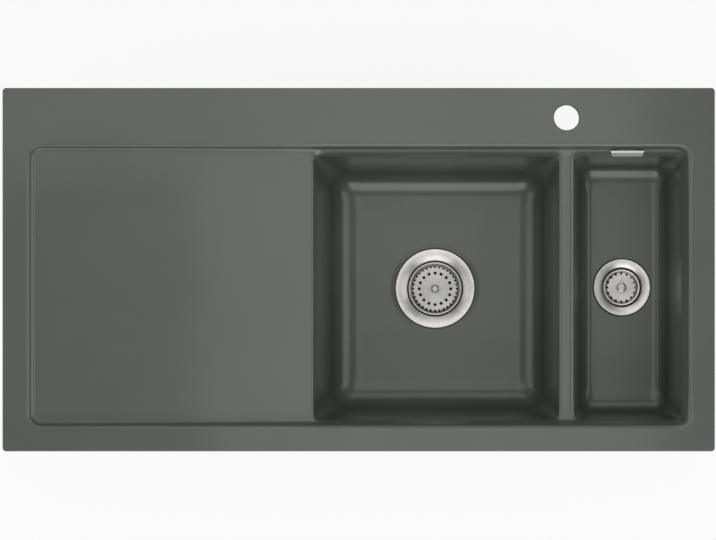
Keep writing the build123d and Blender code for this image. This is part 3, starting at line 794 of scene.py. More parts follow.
def bowl_stack(bowl, block):
    """Wall, foot, floor, dish, rebate and hole, then the underside and the outer wall."""
    face = facing(upper_xs, upper_ys, block, BEND)
    floor_z, low_z = -bowl.depth, -bowl.depth - floor_thickness
    wall = bowl.rows(np.linspace(UPPER_MEET, floor_z + bowl.foot, 10)[1:])
    flat = bowl.floor + np.array([1, -1, 1, -1, 0, 0]) * np.repeat([*bowl.spread, 0], 2)
    flat[4] = foot_corner
    inner = rings(np.vstack([wall, conic(wall[-1], bowl.floor, flat, 12), flat]), face)
    r, h, seat = bowl.rebate, bowl.hole, floor_z - rebate_drop
    (wide, drop), lip = bowl.dish, bowl.rebate + well_lip
    well = circles(bowl.centre, inner[-1], [
        (lip + wide, floor_z), (lip + 0.75 * wide, floor_z - 0.17 * drop),
        (lip + 0.3 * wide, floor_z - 0.83 * drop), (lip, floor_z - drop),
        (r + 0.27, floor_z - drop - 0.25), (r, floor_z - drop - 0.9), (r, seat + 0.5),
        (r - 0.5, seat), (h + 0.8, seat), (h + 0.2, seat - 0.25), (h, seat - 0.9),
        (h, low_z + 1.0), (h + 1.0, low_z)])
    bottom = inset(bowl.outer_floor, outer_foot)
    out_wall = bowl.rows(np.linspace(low_z + outer_foot, LOWER_MEET, 9)[:-1], True)
    outer = rings(np.vstack([bottom, conic(bottom, bowl.outer_floor, out_wall[0], 9), out_wall]), face)
    parts = [inner, melt(inner[-1], well[0], 8), well, melt(well[-1], outer[0], 6), outer]
    return np.concatenate(parts), sum(len(p) for p in parts[:3]) - 2


for bowl, block in ((main_bowl, MAIN_BLOCK), (small_bowl, SMALL_BLOCK)):
    add_stack(block, *bowl_stack(bowl, block))

# %% [markdown]
# The outline, the tap hole and the overflow slot are stacks as well. The outline's top edge and the
# tap hole's are small quarter rounds, which glaze needs to hold. The slot runs straight from its
# ring in the slanted wall to the one in the back of the block.

# %% Rim, tap hole and overflow slot
QUARTER, HOLE_END = 0.707, -9.0
ends = (0, count_x - 1, 0, count_y - 1)
outline = np.array([-half_length, half_length, -half_width, half_width, outline_corner, 0.0])


def at_height(row, z):
    """The same row at another height."""
    return np.array([*row[:5], z])


side_edge, low_edge = at_height(outline, -top_round), at_height(outline, rim_under + under_round)
under_edge = at_height(inset(outline, under_round), rim_under)
rim_rows = np.vstack([
    conic(inset(outline, top_round), outline, side_edge, 4, QUARTER), side_edge, low_edge,
    conic(low_edge, at_height(outline, rim_under), under_edge, 2, QUARTER)])
add_stack(ends, rings(rim_rows, facing(upper_xs, upper_ys, ends, EDGE)), 6, outside=True)

turn = np.radians([22.5, 45.0, 67.5, 90.0])
tap_edge = np.column_stack([tap_radius + tap_round * (1 - np.sin(turn)),
                            tap_round * (np.cos(turn) - 1)])
tap_edge = np.vstack([tap_edge, (tap_radius, HOLE_END)])
add_stack(TAP_BLOCK, circles((tap_x, tap_y), upper_points[around(TAP_BLOCK)], tap_edge), 4)
slot_front, slot_back = upper_points[around(SLOT_BLOCK)], lower_points[around(SLOT_BLOCK)]
slot_rings = np.stack([slot_front * (1 - t) + slot_back * t for t in (0.04, 0.96)])
add_stack(SLOT_BLOCK, slot_rings, 0)

# %% [markdown]
# With the faces of both sheets outside the gaps, the casting is one closed skin. Glaze and raw clay
# are two finishes on it, told apart face by face. Its normals are weighted by the size of the faces,
# so that the flat parts stay flat up to their rounded edges.

# %% The casting
keep = np.ones((count_x - 1, count_y - 1), bool)
for i0, i1, j0, j1 in (MAIN_BLOCK, SMALL_BLOCK, TAP_BLOCK, SLOT_BLOCK):
    keep[i0:i1, j0:j1] = False
cells = open_faces(count_x, count_y)[keep]
all_quads += [cells, cells[:, ::-1] + count_x * count_y]
quad_is_raw += [np.zeros(len(cells), bool), np.ones(len(cells), bool)]

casting_mesh = mesh_of("ceramic_casting", np.concatenate(all_points), np.concatenate(all_quads))
casting = piece("ceramic_casting", casting_mesh, satin_glaze, "sink", "glaze", "sink_body")
casting_mesh.materials.append(raw_underside)
casting_mesh.polygons.foreach_set("material_index", np.concatenate(quad_is_raw).astype(np.int32))
even_normals = casting.modifiers.new("even_normals", "WEIGHTED_NORMAL")
even_normals.keep_sharp = True

# %% [markdown]
# The strainers are pressed from steel sheet about a millimetre thick. Such a piece is a line turned
# round an axis: the line runs from the middle of the floor outwards and up to the edge, with a
# rounded bend wherever the press folds the sheet. Holes and slots are gaps in the turned grid,
# pulled to a true ring in the sheet's own lengths, and the thickness is added afterwards, away
# from the side that shows.

# %% Rounded lines
def rounded_path(points, radii, steps=6):
    """Open line through points with each inner corner replaced by an arc of its radius."""
    p = np.array(points, float)
    before, after = p[:-2] - p[1:-1], p[2:] - p[1:-1]
    before_length, after_length = np.hypot(*before.T), np.hypot(*after.T)
    before, after = before / before_length[:, None], after / after_length[:, None]
    half = np.arccos(np.clip((before * after).sum(1), -1, 1)) / 2
    cut = np.minimum(np.array(radii) / np.tan(half), 0.48 * np.minimum(before_length, after_length))
    a, b, c = [(p[1:-1] + way * cut[:, None])[:, None] for way in (before, 0 * before, after)]
    t, weight = np.linspace(0, 1, steps + 1)[None, :, None], np.sin(half)[:, None, None]
    parts = (1 - t) ** 2, 2 * weight * t * (1 - t), t ** 2
    arcs = (parts[0] * a + parts[1] * b + parts[2] * c) / sum(parts)
    return np.vstack([p[:1], arcs.reshape(-1, 2), p[-1:]])


def lengths(path):
    """Length of a path from its start to each of its points."""
    return np.concatenate([[0], np.cumsum(np.hypot(*np.diff(path, axis=0).T))])


def length_at(path, radius):
    """Length along a path, whose radius keeps growing, where it reaches a radius."""
    return float(np.interp(radius, path[:, 0], lengths(path)))


bend = rounded_path([(0, 0), (10, 0), (10, 10)], [2])
print("a line of 10 and 10 mm rounded by 2 mm is", lengths(bend)[-1].round(2), "mm long")

# %% [markdown]
# The turned grid has a line for each step along the path and for each step round the axis. A gap
# takes whole cells out of it, and the lines about the gap move onto the ring of the real hole.

# %% Turned sheets
HOLE_REACH = 1.7


def turned_sheet(path, stops, centre, count, holes):
    """Points and faces of a path turned in count steps; stops are (length along it, lines to there).

    A hole is (number, first, middle, half length, half steps, straight, radius): number of them,
    step of the first, place along the path, and the ring its gap is pulled to.
    """
    along = lengths(path)
    marks = [0.0] + [m for m, _ in stops]
    s = np.concatenate([even(a, b, n) for a, b, n in zip(marks, marks[1:], [n for _, n in stops])]
                       + [marks[-1:]])
    step = 2 * np.pi / count
    length, angle = np.meshgrid(s, np.arange(count) * step, indexing="ij")
    keep = np.ones((len(s) - 1, count), bool)
    for number, first, middle, half, half_steps, straight, radius in holes:
        sector = count // number
        local = (np.arange(count) - first + sector // 2) % sector - sector // 2
        turn = np.broadcast_to(local * step, length.shape)
        r = np.interp(length, along, path[:, 0])
        u, v = to_ring(length - middle, r * turn, half, r * half_steps * step, straight, radius,
                       HOLE_REACH)
        length = middle + u
        angle = angle - turn + v / np.interp(length, along, path[:, 0])
        inside = (s[:-1] > middle - half - 1e-6) & (s[1:] < middle + half + 1e-6)
        keep &= ~np.outer(inside, (local >= -half_steps) & (local < half_steps))
    r, z = np.interp(length, along, path[:, 0]), np.interp(length, along, path[:, 1])
    points = np.stack([centre[0] + r * np.cos(angle), centre[1] + r * np.sin(angle),
                       centre[2] + z], -1)
    n = np.arange(len(s) * count).reshape(len(s), count)
    turn = np.roll(n, -1, axis=1)
    return points, np.stack([n[:-1], n[1:], turn[1:], turn[:-1]], -1)[keep]


def as_sheet(made, thickness, edge=0.25):
    """Gives a sheet its thickness, on the side that does not show, and breaks its cut edges."""
    solid = made.modifiers.new("thickness", "SOLIDIFY")
    solid.thickness, solid.offset = thickness * MM, -1.0
    broken = made.modifiers.new("broken_edges", "BEVEL")
    broken.width, broken.segments, broken.angle_limit = edge * MM, 2, math.radians(50)
    broken.harden_normals = True


washer = turned_sheet(np.array([[1.0, 0.0], [2.0, 0.0]]), [(1.0, 2)], (0, 0, 0), 8, [])
print("a plain washer of 2 by 8 cells has", len(washer[1]), "faces")

# %% [markdown]
# Both wastes are built alike and differ in their sizes, so each is one set of named sizes. Radii and
# heights are in millimetres, and heights count from the floor of the bowl.

# %% Sizes of the wastes
SHEET, seal_thick, screw_bore = 1.2, 1.5, 3.3
main_waste = SimpleNamespace(
    name="main", seat=(main_x, waste_y, -main_depth), hole=main_bowl.hole, flange=58.0, fall=4.6,
    seal_band=4.0, cup=41.0, depth=42.0, drain=7.5, drain_circle=24.0, rim=39.0, rim_top=-7.0,
    disc=33.5, disc_top=-16.0, knob=5.75, knob_height=8.0, plug=35.0, outlet=23.9, bore=20.0)
small_waste = SimpleNamespace(
    name="small", seat=(small_x, waste_y, -small_depth), hole=small_bowl.hole, flange=40.5, fall=3.2,
    seal_band=3.5, cup=28.5, depth=37.0, drain=4.5, drain_circle=17.0, rim=26.0, rim_top=-6.0,
    disc=21.5, disc_top=-12.0, knob=7.0, knob_height=7.5, plug=23.5, outlet=20.95, bore=17.0)
wastes = (main_waste, small_waste)
print("wastes at", [np.round(waste.seat, 1).tolist() for waste in wastes])

# %% [markdown]
# Brushed steel keeps the marks of the wheel that polished it as it turned, so its gloss and relief
# change with the distance from the axis and hardly along the circle. A noise along that distance
# alone gives the rings. Such rings spread a highlight across themselves, so the steel is
# anisotropic, with its highlights drawn outwards from the axis.

# %% Steel finishes
def steel_finish(name, centre, tint, dull, ring_scale=2600.0):
    """Brushed steel with rings about an upright axis at centre, in millimetres."""
    f = Finish(name, Metallic=1.0, Anisotropic=0.5)
    flat = f.moved((centre[0] * MM, centre[1] * MM, 0), (1, 1, 0))
    away = f.add("ShaderNodeVectorMath", operation="LENGTH")
    f.links.new(flat, away.inputs[0])
    f.to(flat, "Tangent")
    ring = f.add("ShaderNodeTexNoise", noise_dimensions="1D")
    ring.inputs["Scale"].default_value = ring_scale
    ring.inputs["Detail"].default_value = 3.0
    f.links.new(away.outputs["Value"], ring.inputs["W"])
    dark, light = [tuple(min(1.0, c * k) for c in tint) + (1.0,) for k in (0.94, 1.06)]
    f.to(f.shades(f.noise(120.0, 3.0), (0.35, dark), (0.65, light)), "Base Color")
    f.to(f.between(ring.outputs["Fac"], dull - 0.06, dull + 0.07), "Roughness")
    f.to(f.relief(ring.outputs["Fac"], 0.00002, 0.6), "Normal")
    return f.material


# The main basket's steel is tinted darker than the small one's: painted shade on its disc.
flange_tint, basket_tints_with_painted_shade = (0.66, 0.65, 0.635), ((0.50, 0.495, 0.48), (0.62, 0.61, 0.60))
for waste in wastes:
    waste.steel = steel_finish(waste.name + "_waste_steel", waste.seat, flange_tint, 0.34)
for waste, tint in zip(wastes, basket_tints_with_painted_shade):
    waste.basket_steel = steel_finish(waste.name + "_basket_steel", waste.seat, tint, 0.40)
print("steel", [(waste.steel.name, waste.basket_steel.name) for waste in wastes])

# %% [markdown]
# The flange lies on its seal in the rebate of the bowl's floor, with its edge just under the ceramic.
# From there it curves down like a shallow funnel into the throat. The cup below it is a plain pot
# with six drain holes, which the rubber plug of the basket closes.

# %% Flange cups
FUNNEL = 1.9


def flange_cup(waste):
    """Path from the cup's floor up its wall, over the throat and out to the flange's edge.

    The funnel falls as a power of the distance from the edge. The path's corners have seven points
    each, so its points 1 to 7 are the cup's foot and 8 to 14 the throat.
    """
    name, cup, steps = waste.name + "_flange_cup", waste.cup, 144
    top = SHEET + seal_thick - rebate_drop
    r = np.linspace(cup + 2.2, waste.flange, 24)
    fall = waste.fall * ((waste.flange - r) / (waste.flange - cup)) ** FUNNEL
    funnel = np.column_stack([r, top - fall])
    throat = [(screw_bore, -waste.depth), (cup, -waste.depth), (cup, top - waste.fall), funnel[0]]
    path = np.vstack([rounded_path(throat, [4.0, 1.6]), funnel[1:]])
    drain, middle = waste.drain, waste.drain_circle - screw_bore
    half_steps = round(drain / (waste.drain_circle * 2 * math.pi / steps))
    foot_from, foot_to, throat_from, throat_to, edge = lengths(path)[[1, 7, 8, 14, -1]]
    stops = [(middle - drain, 3), (middle + drain, 2 * half_steps), (foot_from, 3), (foot_to, 8),
             (throat_from, 6), (throat_to, 8), (edge, 24)]
    holes = [(6, steps // 12, middle, drain, half_steps, 0.0, drain)]
    points, quads = turned_sheet(path, stops, waste.seat, steps, holes)
    made = piece(name, mesh_of(name, points, quads), waste.steel, "sink", "waste_steel", name)
    as_sheet(made, SHEET)


for waste in wastes:
    flange_cup(waste)

# %% [markdown]
# A basket is a shallow dish with a rolled rim. The main one has a ring of round holes in its floor
# and a slot over each fold of the foot, the small one only slots, which read as teeth from above.

# %% Strainer baskets
def basket(waste, slots, slot_wide, cells, holes=None):
    """Path from the knob's stud over the floor, up the slanted wall and round the rolled rim.

    There are cells steps to a slot; holes are (number, circle's radius, radius).
    """
    name, disc, steps = waste.name + "_strainer_basket", waste.disc, slots * cells
    corners = [(2.5, waste.disc_top), (disc, waste.disc_top), (waste.rim - 2.4, waste.rim_top - 0.2),
               (waste.rim, waste.rim_top)]
    path = rounded_path(corners, [2.6, 0.8])
    full, depth = lengths(path)[-1], waste.rim_top - waste.disc_top
    slot_from, slot_to = length_at(path, disc - 2.8), length_at(path, disc) + (depth - 2.6)
    slot_half, slot_mid = (slot_to - slot_from) / 2, (slot_to + slot_from) / 2
    gaps = [(slots, 0, slot_mid, slot_half, 2, slot_half - slot_wide / 2, slot_wide / 2)]
    stops = [(slot_from, 12), (slot_to, 12), (full - 3.0, 5), (full, 9)]
    if holes:
        number, circle, radius = holes
        middle = length_at(path, circle)
        half_steps = round(radius / (circle * 2 * math.pi / steps))
        gaps.append((number, 0, middle, radius, half_steps, 0.0, radius))
        stops[:1] = [(middle - radius, 8), (middle + radius, 2 * half_steps), (slot_from, 5)]
    points, quads = turned_sheet(path, stops, waste.seat, steps, gaps)
    made = piece(name, mesh_of(name, points, quads), waste.basket_steel, waste.name + "_basket",
                 "basket_steel", name)
    as_sheet(made, SHEET, 0.2)


basket(main_waste, slots=32, slot_wide=2.4, cells=8, holes=(16, 23.5, 2.3))
basket(small_waste, slots=16, slot_wide=3.0, cells=12)

# %% [markdown]
# Knobs, stems, screws and rubber plugs are turned or moulded solid, so they are closed profiles
# turned round the axis, with every corner broken by a small arc.

# %% Turned solids
def lathe(points, radii, centre, steps=96):
    """Closed profile of (radius, height) points with rounded corners, turned about an upright axis."""
    wrapped = [points[-1], *points, points[0]]
    profile = rounded_path(wrapped, radii, 4)[1:-1]
    angle = np.linspace(0, 2 * np.pi, steps, endpoint=False)
    r, z = np.maximum(profile[:, :1], 0), profile[:, 1:]
    turned = np.stack([centre[0] + r * np.cos(angle), centre[1] + r * np.sin(angle),
                       centre[2] + z + 0 * angle], -1)
    return turned, closed_faces(len(profile), steps)


def solid_piece(name, shape, finish, body, slot):
    """Piece of (points, faces) with its seams closed, for the solid of the same name."""
    return piece(name, mesh_of(name, *shape, weld=True), finish, body, slot, name)


def knob(waste):
    """Waisted pull knob with a domed top."""
    radius, height, low = waste.knob, waste.knob_height, waste.disc_top
    foot = max(radius * 0.7, 3.5)
    outline = [(0.0, low + 4.5), (2.5, low + 4.5), (2.5, low), (foot, low),
               (foot - 0.7, low + height * 0.35), (radius, low + height * 0.62),
               (radius, low + height * 0.86), (radius * 0.62, low + height), (0.0, low + height)]
    radii = [0, 0.2, 0.2, 0.5, 1.2, 0.9, 0.9, 2.5, 0]
    solid_piece(waste.name + "_basket_knob", lathe(outline, radii, waste.seat), waste.basket_steel,
                waste.name + "_basket", "basket_steel")


for waste in wastes:
    knob(waste)

# %% [markdown]
# The parts under the floor are moulded. Rubber and plastic come out of the mould in nearly one
# shade, with the mould's fine grain and a gloss that is a little uneven where it cooled slower.

# %% Rubber and plastic finishes
def moulded_finish(name, colour, dull, grain, depth):
    """Moulded plastic or rubber: two close shades, uneven gloss and the grain of the mould."""
    dark, light = [tuple(c * k for c in colour) + (1.0,) for k in (0.88, 1.12)]
    f = Finish(name, Specular_IOR_Level=0.45)
    f.to(f.shades(f.noise(45.0, 4.0), (0.3, dark), (0.7, light)), "Base Color")
    f.to(f.between(f.noise(150.0, 3.0), dull - 0.07, dull + 0.07), "Roughness")
    f.to(f.relief(f.noise(grain, 3.0), depth, 0.6), "Normal")
    return f.material


rubber = moulded_finish("seal_rubber", (0.030, 0.030, 0.031), 0.62, 1500.0, 0.00008)
waste_plastic = moulded_finish("waste_plastic", (0.32, 0.33, 0.34), 0.42, 1100.0, 0.00005)
overflow_plastic = moulded_finish("overflow_plastic", (0.30, 0.31, 0.32), 0.45, 1100.0, 0.00005)
pipe_plastic = moulded_finish("pipe_plastic", (0.60, 0.60, 0.58), 0.38, 700.0, 0.00004)
nut_plastic = moulded_finish("nut_plastic", (0.10, 0.10, 0.11), 0.48, 1300.0, 0.00006)
screw_steel = steel_finish("screw_steel", (main_x, waste_y), (0.55, 0.55, 0.55), 0.33)
print("moulded", rubber.name, waste_plastic.name, pipe_plastic.name)

# %% [markdown]
# The parts below the basket make it work. A stem carries the basket and a rubber plug, and its pin
# stands in the head of the clamp screw, which pulls the housing up against the underside of the
# floor. They are mostly out of sight until a basket is lifted.

# %% Plugs, stems and screws
plug_height, pin_length, screw_head, stud_length = 6.5, 4.0, 6.0, 4.0
hub_gap, hub_height = 2.0, 14.0


def stem_neck(waste):
    """Radius of the collar that the plug's middle and the stem share."""
    return waste.plug * 0.46 + 1


def stopper_seal(waste):
    """Rubber plug with a thin lip, which closes the cup's drain holes."""
    low, rim, neck = -waste.depth, waste.plug, stem_neck(waste)
    outline = [(8.0, low), (rim - 1.2, low), (rim, low + 1.2), (rim - 0.8, low + 3),
               (neck + 4, low + 2.6), (neck + 1, low + 3.4), (neck, low + plug_height),
               (8.0, low + plug_height)]
    shape = lathe(outline, [0.4, 0.8, 0.8, 0.7, 2.0, 1.5, 0.6, 0.4], waste.seat)
    solid_piece(waste.name + "_stopper_seal", shape, rubber, waste.name + "_plug", "seal_rubber")


def basket_stem(waste):
    """Pin, collar and shaft, with a stud through the basket's floor."""
    top, neck, under = plug_height - waste.depth, stem_neck(waste), waste.disc_top - SHEET
    pin_end, stud_end = top - pin_length, waste.disc_top + stud_length
    outline = [(0.0, pin_end), (2.4, pin_end), (3.0, pin_end + 0.6), (3.0, top), (neck, top),
               (neck, top + 2), (6.0, top + 2), (4.0, top + 4.5), (4.0, under), (2.2, under),
               (2.2, stud_end), (0.0, stud_end)]
    shape = lathe(outline, [0, 0.3, 0.3, 0.2, 0.4, 0.6, 1.0, 2.0, 0.3, 0.1, 0.3, 0], waste.seat)
    solid_piece(waste.name + "_basket_stem", shape, waste.basket_steel, waste.name + "_plug",
                "basket_steel")


def clamp_screw(waste):
    """Screw with a socket in its head for the stem's pin."""
    seat, end = -waste.depth, 1 - waste.depth - SHEET - hub_gap - hub_height
    head = seat + screw_head
    outline = [(0.0, seat + 1.5), (screw_bore, seat + 1.5), (screw_bore, head), (6.6, head),
               (7.5, head - 1.6), (7.5, seat), (3.0, seat), (3.0, end + 0.8), (2.2, end), (0.0, end)]
    shape = lathe(outline, [0, 0.2, 0.3, 0.7, 0.8, 0.3, 0.2, 0.3, 0.3, 0], waste.seat)
    solid_piece(waste.name + "_clamp_screw", shape, screw_steel, "sink", "screw_steel")


for waste in wastes:
    stopper_seal(waste)
    basket_stem(waste)
    clamp_screw(waste)

# %% [markdown]
# Two flat rubber rings make each waste tight: a thin one between the flange and the rebate, and a
# thicker one between the underside of the floor and the housing.

# %% Seals and gaskets
gasket_thick, gasket_wide = 3.0, 9.0


def ring_piece(name, waste, inner, outer, low, high, edge):
    """Flat rubber ring with rounded edges."""
    outline = [(inner, low), (outer, low), (outer, high), (inner, high)]
    shape = lathe(outline, [edge] * 4, waste.seat)
    solid_piece(waste.name + name, shape, rubber, "sink", "seal_rubber")


for waste in wastes:
    ring_piece("_flange_seal", waste, waste.flange - waste.seal_band, waste.flange - 1,
               -rebate_drop, seal_thick - rebate_drop, 0.5)
    ring_piece("_floor_gasket", waste, waste.hole, waste.hole + gasket_wide,
               -floor_thickness - gasket_thick, -floor_thickness, 0.9)

# %% [markdown]
# A housing is moulded with a broad flange, a pot that tapers to the outlet, and a thread that a
# trap's nut screws onto. The thread is the outlet's wall with its radius waving in and out once
# for each turn, along a slope of one pitch per turn, and it runs out smoothly at both ends.

# %% Threaded shells
PITCH, THREAD, THREAD_ROWS = 2.309, 1.4, 83
housing_flange, housing_wall, outlet_length = 4.0, 3.0, 24.0


def threaded(r, z, angle, low, high):
    """Outlet radius less a wave of (height / pitch - turn), faded in and out at the ends."""
    wave = 0.5 - 0.5 * np.cos(2 * np.pi * (z / PITCH) - angle)
    return r - THREAD * wave * ramp(z, low, low + 2.5) * ramp(-z, -high, -high + 4.0)


def housing_bore(waste):
    """Inside radius of the pot, clear of the cup."""
    return waste.cup + SHEET + 3.3


def housing_shell(waste):
    """Closed shell of a housing, with dense rows along its thread."""
    inner, outlet, bore = housing_bore(waste), waste.outlet, waste.bore
    outer, flange, foot = inner + housing_wall, waste.hole + 10.0, -waste.depth - SHEET - 6.0
    top, throat = -floor_thickness - gasket_thick, foot - (inner - bore) * 0.35
    end, thread_top = throat - outlet_length, throat - 5.0
    upper = rounded_path([(inner, foot), (inner, top), (flange, top), (flange, top - housing_flange),
                          (outer, top - housing_flange), (outer, foot - 2), (outlet, throat - 2),
                          (outlet, thread_top)], [0.6, 1.0, 1.2, 2.5, 4.0, 3.0], 4)
    rows = np.linspace(thread_top, end + 0.8, THREAD_ROWS + 1)[1:]
    lower = rounded_path([(outlet, end + 0.8), (outlet, end), (bore, end), (bore, throat),
                          (inner, foot)], [0.7, 0.6, 3.0], 4)
    profile = np.vstack([upper, np.column_stack([np.full(THREAD_ROWS, outlet), rows]), lower[1:-1]])
    angle = np.linspace(0, 2 * np.pi, 96, endpoint=False)
    r, z = profile[:, :1] + 0 * angle, profile[:, 1:] + 0 * angle
    cut = slice(len(upper), len(upper) + THREAD_ROWS)
    r[cut] = threaded(r[cut], z[cut], angle, end + 0.8, thread_top)
    x, y, base = waste.seat
    points = np.stack([x + r * np.cos(angle), y + r * np.sin(angle), base + z], -1)
    return points, closed_faces(*r.shape)


print("turns of thread", round((outlet_length - 5.0) / PITCH, 1))

# %% [markdown]
# The rest of a housing is plain: a hub for the screw on three ribs, and on the small one a side
# inlet. A rib is a block with rounded edges. It starts as the grid of a cube, whose points go to the
# nearest place in the block's core and from there out by the radius of the edge.

# %% Blocks and joined shapes
EDGE_LINES = np.linspace(0.90, 0.999, 6)


def together(*shapes):
    """Several (points, faces) as one."""
    points, quads, start = [], [], 0
    for p, q in shapes:
        points.append(p.reshape(-1, 3))
        quads.append(q.reshape(-1, 4) + start)
        start += len(points[-1])
    return np.concatenate(points), np.concatenate(quads)


def rounded_block(half, edge):
    """Box about the origin: a cube's grid, each point moved to its core and out by the edge radius.

    The outer tenth of the grid is spread over 1.6 edge radii, so its lines lie on the round edge.
    """
    half = np.array(half, float)
    t = np.concatenate([[-1.0], -EDGE_LINES[::-1], EDGE_LINES, [1.0]])
    u, v = np.meshgrid(t, t, indexing="ij")
    flat = np.stack([u, v, np.ones_like(u)], -1)
    faces = [flat, flat[..., [2, 0, 1]], flat[..., [1, 2, 0]]]
    cube = np.stack(faces + [-f[::-1] for f in faces])
    near_edge = np.sign(cube) * (1 - (1 - np.abs(cube)) * 10 * edge / half * 1.6)
    place = np.where(np.abs(cube) > 0.899, near_edge * half, cube * half)
    core = np.clip(place, edge - half, half - edge)
    out = place - core
    size = np.maximum(np.linalg.norm(out, axis=-1, keepdims=True), 1e-9)
    one = open_faces(len(t), len(t)).reshape(-1, 4)
    quads = np.concatenate([one + k * u.size for k in range(6)])
    return (core + edge * out / size).reshape(-1, 3), quads


def turned_to(direction):
    """Rows that turn the upright axis to another direction."""
    z = np.array(direction, float) / np.linalg.norm(direction)
    x = np.array([1.0, 0, 0]) if abs(z[0]) < 0.9 else np.array([0, 1.0, 0])
    y = np.cross(z, x)
    return np.array([x, y / np.linalg.norm(y), z])


print("a block has", len(rounded_block((1, 1, 1), 0.1)[1]), "faces")

# %% [markdown]
# Shell, hub, ribs and inlet of a housing come out of one mould. They are closed shapes that reach
# into each other, kept in one mesh.

# %% Housings
inlet_drop, inlet_reach = 37.0, 58.0
pipe_bore, socket_bore, socket_radius, socket_depth = 8.4, 10.3, 12.5, 14.0


def housing_hub(waste):
    """Screw hub on three ribs, inside the housing."""
    top, inner = -waste.depth - SHEET - hub_gap, housing_bore(waste)
    outline = [(screw_bore, top - hub_height), (6.5, top - hub_height), (6.5, top), (screw_bore, top)]
    shapes = [lathe(outline, [0.4, 0.8, 0.8, 0.4], waste.seat, 48)]
    for angle in np.radians([90.0, 210.0, 330.0]):
        points, quads = rounded_block(((inner - 4.0) / 2, 1.5, 5.0), 0.5)
        points = points + np.array([(inner + 6.0) / 2 - 0.5, 0, top - hub_height / 2])
        c, s = math.cos(angle), math.sin(angle)
        points = points @ np.array([[c, s, 0], [-s, c, 0], [0, 0, 1]]) + np.array(waste.seat)
        shapes.append((points, quads))
    return shapes


def side_inlet(waste):
    """Tube towards the back, with a wider socket at its end for the pipe."""
    inner, step = housing_bore(waste), inlet_reach - socket_depth
    outline = [(pipe_bore, inner), (socket_radius, inner), (socket_radius, inlet_reach),
               (socket_bore, inlet_reach), (socket_bore, step), (pipe_bore, step)]
    points, quads = lathe(outline, [0.3, 0.3, 0.7, 0.5, 0.3, 0.3], (0, 0, 0), 64)
    shift = np.array(waste.seat) + np.array([overflow_offset, 0, -inlet_drop])
    return points @ turned_to((0, 1, 0)) + shift, quads


solid_piece("main_waste_body", together(housing_shell(main_waste), *housing_hub(main_waste)),
            waste_plastic, "sink", "waste_plastic")
solid_piece("small_waste_body", together(housing_shell(small_waste), side_inlet(small_waste),
                                         *housing_hub(small_waste)),
            waste_plastic, "sink", "waste_plastic")

# %% [markdown]
# The overflow's cover is a steel plate, bent once along its length and a little narrower at its
# lower edge. It hides a slot in the slanted back wall. Its brushing runs along the plate, so the
# noise of its finish is drawn out that way.

# %% Overflow cover
slot_place = np.array([overflow_x, overflow_y, -overflow_drop])
wall_rows = np.array([[1.0, 0, 0], [0, wall_up[0], wall_up[1]], [0, -wall_up[1], wall_up[0]]])
cover_line = [(-6.5, 2.6), (-3.3, 3.68), (3.5, 4.4)]
cover_half, cover_taper, cover_bend = 23.0, 0.25, 9.0


def cover_sheet():
    """Bent plate: width narrows down the wall, distance from the wall follows a rounded bend."""
    line = rounded_path(cover_line, [cover_bend], 14)
    s = np.linspace(0, lengths(line)[-1], 24)
    up, out = -np.interp(s, lengths(line), line[:, 0]), np.interp(s, lengths(line), line[:, 1])
    across = np.sin(np.linspace(-np.pi / 2, np.pi / 2, 40))
    half = cover_half - cover_taper * (up[0] - up)
    local = np.stack([half[:, None] * across, up[:, None] + 0 * across, out[:, None] + 0 * across], -1)
    return local @ wall_rows + slot_place, open_faces(*local.shape[:2])


def cover_finish():
    """Steel brushed along the plate: a noise drawn out lengthways."""
    f = Finish("cover_steel", Metallic=1.0)
    grain = f.noise(1.0, 3.0, vector=f.moved(slot_place * MM, (30, 2600, 2600)))
    f.to(f.shades(grain, (0.3, (0.47, 0.47, 0.455, 1)), (0.7, (0.53, 0.53, 0.515, 1))), "Base Color")
    f.to(f.between(grain, 0.42, 0.55), "Roughness")
    f.to(f.relief(grain, 0.00002, 0.5), "Normal")
    return f.material


cover_steel = cover_finish()
cover = piece("overflow_cover_plate", mesh_of("overflow_cover_plate", *cover_sheet()), cover_steel,
              "overflow_plate", "cover_steel", "overflow_cover")
as_sheet(cover, 1.0, 0.3)

# %% [markdown]
# Two clips on the back of the plate hold it in the insert of the slot. Each is a narrow leg with a
# broader foot where it is joined to the plate.

# %% Cover clips
clip_aside = 6.8
clip_blocks = (((0.5, 2.2, 5.0), -2.0), ((0.5, 3.4, 1.05), 2.25))
legs = []
for place in (-clip_aside, clip_aside):
    for half, out in clip_blocks:
        points, quads = rounded_block(half, 0.3)
        legs.append((points + np.array([place, 0.0, out]), quads))
points, quads = together(*legs)
clips_mesh = mesh_of("overflow_cover_clips", points @ wall_rows + slot_place, quads, weld=True)
piece("overflow_cover_clips", clips_mesh, cover_steel, "overflow_plate", "cover_steel",
      "overflow_cover")

# %% [markdown]
# Behind the wall a moulded elbow takes the water. A plate lies against the block of the casting, a
# neck leads straight out of it, and a spigot hangs from the neck's end, open below for the pipe.

# %% Overflow elbow
plate_out, neck_out, neck_length, neck_radius, spigot_drop = 34.5, 49.5, 16.0, 11.5, 40.0
spigot_y, spigot_z = overflow_y + neck_out * wall_up[1], -overflow_drop - neck_out * wall_up[0]
spigot_end = spigot_z - spigot_drop

